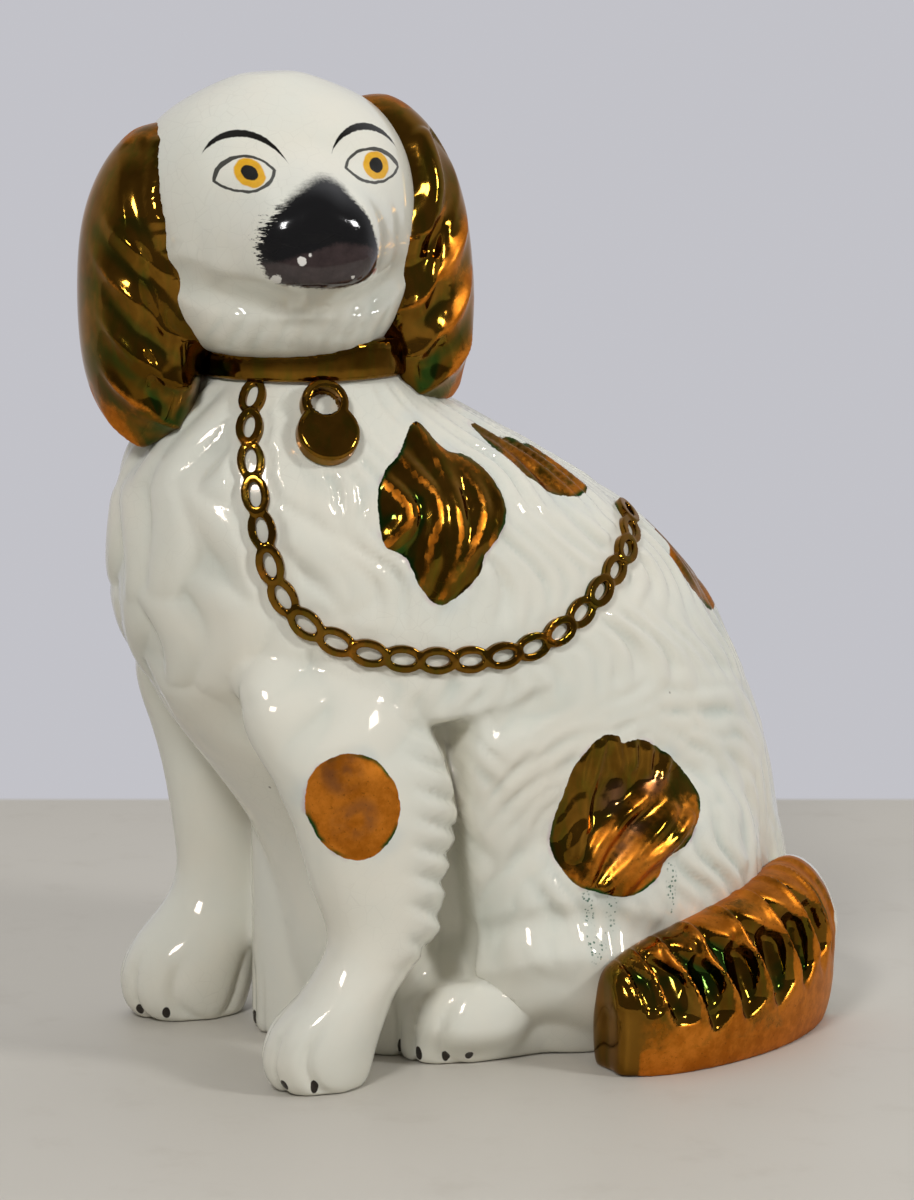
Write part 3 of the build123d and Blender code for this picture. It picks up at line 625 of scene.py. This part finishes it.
def on_face(points):
    """How far points lie to the left, up and ahead of the head's foot, in millimetres."""
    return ((points - np.array(HEAD_FOOT)) @ np.array((FACE_LEFT, FACE_UP, FACE_AHEAD)).T).T


side, rise, reach = on_face(place)
front = ramp(reach, 4, 16)
ahead = np.array(FACE_AHEAD)


def swell(side_at, rise_at, wide, tall):
    """A soft mound on the face round one place."""
    return front * np.exp(-((side - side_at) / wide) ** 2 - ((rise - rise_at) / tall) ** 2)


# Broad flat cheeks, eyes set a little proud under brows, a jaw that overhangs a throat of fluted hair
CHEEK_RISE, EYE_RISE, EYE_SINK, BROW_SWELL = 3.0, 1.6, 1.6, 1.0
CHIN_RISE, JAW_DEPTH, THROAT_RISE, FLUTE_RISE, FLUTE_STEP = 1.4, 3.6, 0.8, 1.2, 6.5
push = CHEEK_RISE * (swell(29, 50, 11, 20) + swell(-29, 50, 11, 20))
push = push + EYE_RISE * (swell(22.5, 58, 8.5, 5.5) + swell(-17, 58, 8.5, 5.5))
push = push - EYE_SINK * (swell(9.5, 53, 4.5, 6) + swell(-8, 54, 4.5, 6))
push = push + BROW_SWELL * (swell(22, 67, 11, 4) + swell(-16, 67, 11, 4))
jaw = strokes(np.stack((side, rise), 1), reach > 6, (
    ((-34, 28), (-31, 25.6), (-22.7, 23.4), (-13.3, 21.6), (0.5, 20.8), (19.4, 19.6), (26, 22.5), (32, 26)),), 6.0)
push = push + CHIN_RISE * front * ramp(np.abs(rise - 30), 8, 2) * ramp(np.abs(side), 34, 26)
push = push - JAW_DEPTH * front * jaw
throat = front * ramp(rise, -2, 4) * ramp(rise, 22, 14) * ramp(np.abs(side), 34, 26)
flutes = locks(side / FLUTE_STEP + 0.3 * np.sin(rise / 4))
settle(head, place + ahead * (push + throat * (THROAT_RISE + FLUTE_RISE * flutes))[:, None])
relax(head, 8)
relax(head, 40, ramp(side, 14, 22) * ramp(reach, 0, 12) * ramp(rise, 26, 32))
side, rise, reach = on_face(surface(head)[0])
face_spots = np.stack((side, rise), 1)
# Pooled glaze and painted shade in the groove under the jaw and between the throat flutes
keep(head, "pooled_glaze_and_shade", np.clip(0.55 * jaw + 0.6 * throat * (1 - flutes), 0, 1))
keep(head, "muzzle", painted(face_spots, reach > 30, (
    (4.1, 57), (-1.7, 55.4), (-7.4, 51.8), (-12.2, 48.3), (-16.4, 43.3), (-18, 37.5), (-16.7, 31.5), (-13.3, 27.9),
    (-6.6, 26.3), (2.3, 25.1), (10.6, 25.3), (16.4, 27.4), (18, 33.5), (17, 39.6), (14.9, 45.6), (11, 51),
    (8.5, 54.8))))
keep(head, "thin", np.interp(side, (-15.4, -6.8, -0.8, 4.7, 13.8, 17.3), (34.1, 36.1, 37.5, 39.2, 37.5, 35.7)) - rise)

# Painted eye: a black line round an almond of white, a yellow iris and a black pupil. The place is in
# millimetres from the middle of the eye, with the outer corner to the right.
eye_paint, given, put = effect("painted_eye", (("Place", "NodeSocketVector"), ("Look", "NodeSocketFloat")), (
    ("Ink", "NodeSocketFloat"), ("Iris", "NodeSocketFloat")))
EYE_HALF, LID_RISE, LID_DROP = 8.4, 5.4, 4.1
IRIS_RADIUS, PUPIL_RADIUS = 4.0, 2.15


def ring_gap(tree, at, centre, radius):
    """Distance outside a circle on the face."""
    offset = vector_of(tree, "SUBTRACT", at, (*centre, 0.0))
    offset = vector_of(tree, "MULTIPLY", offset, (1.0, 1.0, 0.0))
    return sum_of(tree, "SUBTRACT", vector_of(tree, "LENGTH", offset), radius)


def arch_radius(half, rise):
    """The radius of an arch from its half width and its rise."""
    return (half * half + rise * rise) / (2 * rise)


upper, lower = arch_radius(EYE_HALF, LID_RISE), arch_radius(EYE_HALF, LID_DROP)
waver = part(eye_paint, "ShaderNodeTexNoise", given.outputs["Place"], None, 0.28, 2.0)
waver = vector_of(eye_paint, "SUBTRACT", waver.outputs["Color"], (0.5, 0.5, 0.5))
waver = vector_of(eye_paint, "MULTIPLY", waver, (0.9, 0.9, 0.0))
at = vector_of(eye_paint, "ADD", given.outputs["Place"], waver)
almond = sum_of(eye_paint, "MAXIMUM", ring_gap(eye_paint, at, (0, LID_RISE - upper), upper),
                ring_gap(eye_paint, at, (0, lower - LID_DROP), lower))
outward = part(eye_paint, "ShaderNodeSeparateXYZ", at)
lid = times(eye_paint, step(eye_paint, outward.outputs[0], -3.0, 5.0), step(eye_paint, outward.outputs[1], -0.5, 1.5))
line = sum_of(eye_paint, "SUBTRACT", sum_of(eye_paint, "ABSOLUTE", almond), times(eye_paint, lid, 0.3))
line = times(eye_paint, step(eye_paint, line, 0.50, 0.28), 0.92)
look = part(eye_paint, "ShaderNodeCombineXYZ", given.outputs["Look"], 0.7, 0.0).outputs[0]
at = vector_of(eye_paint, "SUBTRACT", at, look)
iris = ring_gap(eye_paint, at, (0, 0), IRIS_RADIUS)
within = step(eye_paint, almond, 0.05, -0.05)
pupil = step(eye_paint, ring_gap(eye_paint, at, (0, 0), PUPIL_RADIUS), 0.15, -0.15)
feed(put, "Ink", sum_of(eye_paint, "MAXIMUM", line, times(eye_paint, pupil, within)))
feed(put, "Iris", times(eye_paint, step(eye_paint, iris, 0.25, -0.25), within))

# Brow: one tapered stroke of the brush, thickest in the middle
brow_paint, given, put = effect("painted_brow", (("Place", "NodeSocketVector"),), (("Ink", "NodeSocketFloat"),))
BROW_HALF, BROW_RISE, BROW_THICK = 11.4, 7.8, 2.0
outer, inner = arch_radius(BROW_HALF, BROW_RISE), arch_radius(BROW_HALF, BROW_RISE - BROW_THICK)
at = given.outputs["Place"]
above = ring_gap(brow_paint, at, (0, BROW_RISE - outer), outer)
below = ring_gap(brow_paint, at, (0, BROW_RISE - BROW_THICK - inner), inner)
stroke = sum_of(brow_paint, "MAXIMUM", above, times(brow_paint, below, -1.0))
ragged = sum_of(brow_paint, "SUBTRACT", cloud(brow_paint, at, 0.9, 3.0), 0.5)
stroke = sum_of(brow_paint, "MULTIPLY_ADD", ragged, 0.5, stroke)
feed(put, "Ink", step(brow_paint, stroke, 0.15, -0.15))

OCHRE_DARK, OCHRE_BRIGHT = (0.62, 0.30, 0.012), (0.82, 0.46, 0.025)
INK_BLACK = (0.007, 0.0065, 0.005)
head_finish, tree, shader = fired("painted_head")
spot = spot_in(tree)
turn = Matrix((FACE_LEFT, FACE_UP, FACE_AHEAD))
face = moved(tree, spot, tuple(turn.to_euler()), (MM, MM, MM), tuple(-(turn @ HEAD_FOOT)))
axes = part(tree, "ShaderNodeSeparateXYZ", face)
white = placed(tree, glaze)
# The white darkens by the pooled glaze and painted shade kept on the head
feed(white, "Pool_And_Shade", kept(tree, "pooled_glaze_and_shade"))
colour = white.outputs["Color"]
ink = irises = None
front_only = step(tree, axes.outputs[2], 8.0, 12.0)
for middle_at, tilt, stretch, look in (((-17.0, 57.7), 0.16, -1.0, -1.5), ((22.6, 57.3), -0.10, 0.89, 0.9)):
    around = moved(tree, vector_of(tree, "SUBTRACT", face, (*middle_at, 0.0)), (0, 0, -tilt))
    eye = placed(tree, eye_paint)
    feed(eye, "Place", moved(tree, around, scale=(stretch, 1, 1)))
    eye.inputs["Look"].default_value = look
    ink = eye.outputs["Ink"] if ink is None else sum_of(tree, "MAXIMUM", ink, eye.outputs["Ink"])
    irises = eye.outputs["Iris"] if irises is None else sum_of(tree, "MAXIMUM", irises, eye.outputs["Iris"])
for middle_at, tilt in (((-15.7, 62.6), -0.13), ((21.6, 62.2), -0.05)):
    around = moved(tree, vector_of(tree, "SUBTRACT", face, (*middle_at, 0.0)), (0, 0, -tilt))
    brow = placed(tree, brow_paint)
    feed(brow, "Place", around)
    ink = sum_of(tree, "MAXIMUM", ink, brow.outputs["Ink"])
ochre = tint(tree, cloud(tree, spot, 500.0, 2.0), OCHRE_DARK, OCHRE_BRIGHT)
colour = tint(tree, irises, colour, ochre, front_only)
colour = tint(tree, ink, colour, INK_BLACK, front_only)

# Muzzle: black enamel brushed on thick, with a dry left edge, a soft top and a thin brownish lip
ENAMEL_BLACK, LIP_DARK = (0.0055, 0.0055, 0.0065), (0.008, 0.005, 0.005)
LIP_BROWN, CHIP_WHITE = (0.062, 0.042, 0.042), (0.66, 0.64, 0.60)
LIP_RED = (0.42, 0.05, 0.03)
bristles = moved(tree, face, (0, 0, 0.15), (0.10, 1.3, 0.3))
dry = times(tree, step(tree, axes.outputs[0], -6.0, -15.0), step(tree, axes.outputs[1], 30.0, 38.0))
ragged = times(tree, sum_of(tree, "SUBTRACT", cloud(tree, bristles, 1.0, 4.0, 0.7), 0.5),
               sum_of(tree, "MULTIPLY_ADD", dry, 13.0, 1.5))
fuzz = times(tree, sum_of(tree, "SUBTRACT", cloud(tree, face, 0.9, 4.0, 0.7), 0.5), 2.2)
edge = sum_of(tree, "ADD", sum_of(tree, "ADD", kept(tree, "muzzle"), ragged), fuzz)
soft = part(tree, "ShaderNodeMapRange", axes.outputs[1], 46.0, 56.0, 0.5, 1.7).outputs[0]
black = step(tree, edge, times(tree, soft, -1.0), soft)
thin = sum_of(tree, "ADD", kept(tree, "thin"), fuzz)
lip = tint(tree, cloud(tree, face, 0.3, 5.0, 0.7), LIP_DARK, LIP_BROWN)
enamel = tint(tree, step(tree, thin, -0.4, 1.4), ENAMEL_BLACK, lip)
for chip_at, chip_radius in (((-6.5, 34.1), 1.3), ((-13.4, 28.8), 1.5), ((-3.9, 35.6), 0.5), ((9.0, 28.2), 0.5)):
    chip = sum_of(tree, "ADD", ring_gap(tree, face, chip_at, chip_radius), times(tree, fuzz, 0.7))
    enamel = tint(tree, step(tree, chip, 0.15, -0.15), enamel, CHIP_WHITE)
colour = tint(tree, black, colour, enamel)
dab = times(tree, step(tree, ring_gap(tree, face, (17.8, 28.5), 1.0), 0.5, -0.5),
            step(tree, axes.outputs[2], 26.0, 32.0))
colour = tint(tree, dab, colour, LIP_RED, 0.8)
feed(shader, "Base Color", colour)
feed(shader, "Roughness", white.outputs["Roughness"])
bumped(tree, shader, white.outputs["Height"], *GLAZE_BUMP)
head.data.materials.append(head_finish)
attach(head, "root")
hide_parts("head_face_half", "head_back_half")

# Ears: moulded apart, luted to the skull and lustred all over. Each has a rolled front edge at the top and
# slanting ridges between broad hollows below.
EAR_ROLLS = {
    "left_ear": ((43.1, 62.4), (44.6, 55.2), (44.8, 47.9), (41.7, 40.8), (38.3, 35), (37, 30.7)),
    "right_ear": ((-36.4, 64.6), (-38.1, 57.5), (-39.3, 48.9), (-37.9, 40.1), (-35.1, 32.3), (-32.4, 24),
                  (-30.2, 14.8))}
EAR_VOXEL = 0.0009
CREST_STEP, CREST_RISE, ROLL_RISE, GROOVE_DEPTH = 16.15, 2.4, 2.2, 1.4
EAR_SINK = 3.2


def lustred_finish(name):
    """A material of copper lustre alone."""
    finish, tree, shader = fired(name)
    metal = lustred(tree, shader)
    feed(shader, "Base Color", metal.outputs["Color"])
    feed(shader, "Roughness", metal.outputs["Roughness"])
    shader.inputs["Metallic"].default_value = 1.0
    return finish


ear_finish = lustred_finish("lustred_ear")
for name, flank, top in (("left_ear", 1, 4.25), ("right_ear", -1, 0)):
    ear = glazed_skin("lustred_" + name, (name,), EAR_VOXEL)
    relax(ear, 10)
    relax(ear, 70, ramp(flank * on_face(surface(ear)[0])[0], 48, 57))
    place, facing = surface(ear)
    side, rise, reach = on_face(place)
    out = flank * side
    drift = mottle(place, 30, 3.0)
    shown = ramp(facing @ (0.94 * ahead + 0.35 * flank * np.array(FACE_LEFT)), 0.1, 0.6)
    slant = (rise - top - 0.9 * (out - 43) + 0.5 * (reach - 15) - 26.3) / CREST_STEP + 0.5 + 0.12 * drift
    low = ramp(rise, 50, 38)
    crest = (1 - np.abs(np.sin(np.pi * slant)) ** 0.6) * low * shown * ramp(out, 58, 52)
    spots = np.stack((side, rise), 1)
    roll = shown * strokes(spots, reach > 0, (EAR_ROLLS[name],), 3.8)
    groove = shown * strokes(spots + (flank * -6.0, 0), reach > 0, (EAR_ROLLS[name],), 3.4)
    push = 0.9 + CREST_RISE * crest + ROLL_RISE * roll - GROOVE_DEPTH * groove * (1 - roll)
    sunk = EAR_SINK * ramp(nearness(place, "head_face_half", "head_back_half"), EAR_SINK, 0.4)
    settle(ear, place + facing * push[:, None] - flank * np.array(FACE_LEFT) * sunk[:, None])
    relax(ear, 3)
    green = ramp(rise, 2, -12) * ramp(out, 48, 40)
    keep(ear, "ridge", np.clip(np.where(low > 0.3, 0.22 + 1.4 * crest, 0.5) + 0.5 * roll - green, 0, 1))
    if flank < 0:
        rub = 0.5 * crest + 0.28 * ramp(out, 50, 58) + 0.42 * ramp(rise, 2, -14) * ramp(out, 42, 50)
    else:
        rub = 0.6 * crest + 0.42 * ramp(out, 42, 50) * ramp(rise, 66, 40)
    keep(ear, "rub", np.clip(rub + 0.6 * ramp(rise, 62 + top, 68 + top), 0, 1))
    ear.data.materials.append(ear_finish)
    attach(ear, "root")
    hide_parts(name)

# Collar: a flat band of clay pressed over the neck seam, lustred.
# Padlock: a sprigged relief under it, with white glaze showing through its ring.
# Chain: a relief of oval links, each tucked under the next, laid over the flank by hand.
BOW_SHARE, RING_OPEN = 0.6, 1.2
relief_finish = lustred_finish("lustred_relief")
trunk = [faces_of(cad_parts[half].data) for half in ("torso_left_half", "torso_right_half")]
for name, voxel, rounds, grow, wear, pressed in (
        ("collar", 0.0008, 8, 1.0, 0.2, 0.0),
        ("padlock", 0.0005, 8, 0.3, 0.25, 0.2),
        ("chain", 0.00045, 6, -0.12, 0.36, 0.4)):
    sprig = glazed_skin("lustred_" + name, (name,), voxel)
    relax(sprig, rounds)
    place, facing = surface(sprig)
    place = place + facing * grow
    if name == "padlock":
        low, high = place[:, 2].min(), place[:, 2].max()
        bow = place[:, 2] > low + BOW_SHARE * (high - low)
        hole = ((place[bow].mean(0) - place) * facing).sum(1) > 0
        place = place - facing * (RING_OPEN * (bow & hole))[:, None]
    grounds = [[half.find_nearest(spot)[0] for spot in (place / MM).tolist()] for half in trunk]
    grounds = np.array([[tuple(ground) for ground in half] for half in grounds]) * MM
    gaps = np.linalg.norm(grounds - place, axis=2)
    ground = np.where((gaps[0] < gaps[1])[:, None], *grounds)
    height = gaps.min(0)
    settle(sprig, place + (ground - place) * pressed)
    keep(sprig, "ridge", ramp(height, 0.2, 3.2))
    keep(sprig, "rub", wear * ramp(height, 1.9, 3.2))
    sprig.data.materials.append(relief_finish)
    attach(sprig, "root")
    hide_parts(name)

# Tail: moulded apart and luted round the left of the rump, lustred down to a white root.
# Its hair lies in teardrop hollows between sharp ridges, over a plain band along the floor.
TAIL_CENTRE, TAIL_BEND = (19.46, 17.40), 91.96
TAIL_START, TAIL_END = math.radians(-6.12), math.radians(-97.85)
TAIL_RIDGES = (0.34, 0.42, 0.50, 0.59, 0.695, 0.79, 0.872, 0.936, 0.972, 1.0)
TAIL_TALL, TAIL_LENGTH, TAIL_WHITE = 50, 147, 0.345
CREASE_RISE = 1.3
TAIL_VOXEL = 0.0009
tail = glazed_skin("lustred_tail", ("tail",), TAIL_VOXEL)
relax(tail, 6)


def on_tail(points):
    """The share of the way from root to tip, and the distance from the middle of the bend."""
    offset = points[:, :2] - TAIL_CENTRE
    return (np.arctan2(offset[:, 1], offset[:, 0]) - TAIL_START) / (TAIL_END - TAIL_START), np.hypot(*offset.T)


relax(tail, 30, ramp(on_tail(surface(tail)[0])[0], 0.93, 0.98))
place, facing = surface(tail)
run, spread = on_tail(place)
lift = place[:, 2] / TAIL_TALL
outward = ramp(spread, TAIL_BEND - 6, TAIL_BEND + 2)
shares = np.linspace(0, 1, 26)
crown = np.interp(run, shares, [lift[np.abs(run - share) < 0.03].max() for share in shares])
leaning = run - 0.10 * (lift - 0.6) + 0.006 * mottle(place, 20, 5.0)
tooth = np.interp(leaning, TAIL_RIDGES, np.arange(len(TAIL_RIDGES)))
from_left = 1 - np.modf(tooth)[0]
foot = np.interp(run, (0.46, 0.54, 0.64, 0.75, 0.84, 0.91, 0.96), (0.44, 0.37, 0.30, 0.27, 0.24, 0.34, 0.40))
fallen = (crown - lift) / (crown - foot)
opened = np.interp(fallen, (0.0, 0.42, 0.85, 1.0), (0.05, 1.05, 0.8, 0.3))
trough = ramp(opened - from_left, -0.12, 0.3) * ramp(from_left, 0.0, 0.2) * ramp(fallen, 1.06, 0.84)
trough = trough * ramp(leaning, 0.36, 0.42) * ramp(leaning, 0.985, 0.965)
crease = np.exp(-(np.minimum(from_left, 1 - from_left) / 0.1) ** 2)
crease = crease * ramp(fallen, 0.95, 0.7) * ramp(leaning, 0.98, 0.95)
deep = np.interp(leaning, (0.3, 0.5, 0.8, 0.93, 1.0), (2.0, 3.6, 3.6, 2.2, 1.5))
push = outward * (0.8 * ramp(fallen, 1.2, 0.8) + CREASE_RISE * crease - deep * trough) + 1.0 * (1 - outward)
place = place + facing * push[:, None]
place[:, 2] = np.maximum(place[:, 2], 0)
settle(tail, place)
relax(tail, 1)
keep(tail, "ridge", np.clip(np.where(outward > 0.3, 1 - 1.1 * trough, 0.6), 0, 1))
rub = (1 - ramp(trough, 0.08, 0.4)) * np.interp(run, (0.6, 0.8, 0.94, 0.97), (0.68, 0.62, 0.5, 0.3))
keep(tail, "rub", np.clip(np.maximum(rub, 0.85 * ramp(lift, 0.26, 0.12) * ramp(run, 0.985, 0.95)), 0, 1))
keep(tail, "lustre", (run - TAIL_WHITE) * TAIL_LENGTH)
tail_finish, tree, shader = fired("lustred_tail")
spot = spot_in(tree)
white = placed(tree, glaze)
# A light mottled wash of pooled glaze and painted shade over the white root
white.inputs["Pool_And_Shade"].default_value = 0.2
metal = lustred(tree, shader)
laid = step(tree, sum_of(tree, "MULTIPLY_ADD", cloud(tree, spot, 120.0, 3.0), 4.0, kept(tree, "lustre")), 1.7, 2.3)
feed(shader, "Base Color", tint(tree, laid, white.outputs["Color"], metal.outputs["Color"]))
feed(shader, "Metallic", laid)
rough = part(tree, "ShaderNodeMix", laid, None, white.outputs["Roughness"], metal.outputs["Roughness"])
feed(shader, "Roughness", rough.outputs[0])
tail.data.materials.append(tail_finish)
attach(tail, "root")
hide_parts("tail")

# Base slab and seam strips: plain rolled clay, left bare. The slab closes the bottom, with a vent hole for the
# kiln, and the strips back the seams from inside.
CLAY_BUMP = (0.4, 0.0003)
CLAY_DARK, CLAY_PALE = (0.60, 0.53, 0.42), (0.70, 0.64, 0.54)
GRIT = (0.33, 0.27, 0.20)
clay_finish, tree, shader = fired("bare_clay")
spot = spot_in(tree)
grit = cloud(tree, spot, 900.0, 4.0, 0.6)
colour = tint(tree, step(tree, cloud(tree, spot, 40.0, 4.0), 0.35, 0.7), CLAY_DARK, CLAY_PALE)
colour = tint(tree, step(tree, grit, 0.68, 0.74), colour, GRIT)
feed(shader, "Base Color", colour)
feed(shader, "Roughness", sum_of(tree, "MULTIPLY_ADD", grit, 0.2, 0.7))
bumped(tree, shader, grit, *CLAY_BUMP)
for name in ("base_slab", "torso_seam_strip", "neck_seam_strip", "head_seam_strip"):
    bare_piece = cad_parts[name]
    bare_piece.data.materials.clear()
    bare_piece.data.materials.append(clay_finish)

# Stage: a pale table with a pale wall beyond its back edge, two soft boxes at the viewer's side and one overhead,
# a room that is brighter beyond the table, and a camera at the photograph's angle.
TABLE_DARK, TABLE_PALE = (0.535, 0.505, 0.445), (0.585, 0.555, 0.50)
TABLE_STAIN, ROOM_BRIGHT = (0.42, 0.38, 0.32), (0.66, 0.66, 0.68)
ROOM_DIM = (0.20, 0.19, 0.18)
VIEW_TURN, VIEW_RISE = math.radians(-28), math.radians(9.5)
TABLE_SIZE, TABLE_BACK, TABLE_EDGE = 24, 0.34, 0.004
LAMP_AIM = (0, 0, 0.15)
CAMERA_PLACE, CAMERA_LENS, CAMERA_SENSOR = (-0.7009, -1.3075, 0.3834), 144.2, 36
WALL = (0.54, 0.54, 0.58)
back = Vector((math.sin(VIEW_TURN) * math.cos(VIEW_RISE), -math.cos(VIEW_TURN) * math.cos(VIEW_RISE),
               math.sin(VIEW_RISE)))
bpy.ops.mesh.primitive_plane_add(size=1.0, location=(0, 0, 0))
floor = bpy.context.object
floor.name = "table"
edited(bpy.ops.transform.resize, value=(TABLE_SIZE, TABLE_SIZE, 1))
floor_finish, tree, shader = fired("pale_table")
spot = spot_in(tree)
stains = step(tree, cloud(tree, spot, 35.0, 5.0, 0.65), 0.52, 0.75)
colour = tint(tree, cloud(tree, spot, 6.0, 3.0), TABLE_DARK, TABLE_PALE)
colour = tint(tree, stains, colour, TABLE_STAIN, 0.25)
feed(shader, "Base Color", colour)
shader.inputs["Roughness"].default_value = 0.5
away = vector_of(tree, "DOT_PRODUCT", spot, (-math.sin(VIEW_TURN), math.cos(VIEW_TURN), 0.0))
rays = part(tree, "ShaderNodeLightPath")
seen = sum_of(tree, "MAXIMUM", rays.outputs["Is Camera Ray"], sum_of(
    tree, "MAXIMUM", rays.outputs["Is Glossy Ray"], rays.outputs["Is Transmission Ray"]))
beyond = times(tree, seen, step(tree, away, TABLE_BACK - TABLE_EDGE, TABLE_BACK + TABLE_EDGE))
wall = part(tree, "ShaderNodeEmission", (*WALL, 1), 1.0)
shown = part(tree, "ShaderNodeMixShader", beyond, shader.outputs[0], wall.outputs[0])
tree.links.new(shown.outputs[0], tree.nodes["Material Output"].inputs["Surface"])
floor.data.materials.append(floor_finish)

world = bpy.data.worlds.new("studio")
bpy.context.scene.world = world
world.use_nodes = True
tree = world.node_tree
room = tree.nodes["Background"]
toward = vector_of(tree, "DOT_PRODUCT", part(tree, "ShaderNodeTexCoord").outputs["Generated"], tuple(back))
rays = part(tree, "ShaderNodeLightPath")
dim = step(tree, toward, -0.45, 0.45)
surround = tint(tree, dim, ROOM_BRIGHT, ROOM_DIM)
feed(room, "Color", tint(tree, rays.outputs["Is Camera Ray"], surround, WALL))
room.inputs["Strength"].default_value = 0.8

for name, place, size, power in (
        ("key", (-1.05, -1.0, 1.15), 0.30, 13.2), ("side", (0.75, -1.15, 0.85), 0.24, 8.5),
        ("top", (0.2, 0.3, 1.7), 1.9, 8.0)):
    lamp = bpy.data.lights.new(name, "AREA")
    lamp.size = size
    lamp.energy = power
    box = bpy.data.objects.new(name, lamp)
    bpy.context.scene.collection.objects.link(box)
    box.location = place
    box.rotation_euler = (Vector(LAMP_AIM) - Vector(place)).to_track_quat("-Z", "Y").to_euler()
    box.visible_glossy = name != "top"

camera = bpy.data.objects.new("camera", bpy.data.cameras.new("camera"))
bpy.context.scene.collection.objects.link(camera)
camera.location = CAMERA_PLACE
camera.rotation_euler = (-back).to_track_quat("-Z", "Y").to_euler()
camera.data.lens = CAMERA_LENS
camera.data.sensor_width = CAMERA_SENSOR
bpy.context.scene.camera = camera
bpy.context.scene.view_settings.view_transform = "Standard"

bpy.context.view_layer.update()
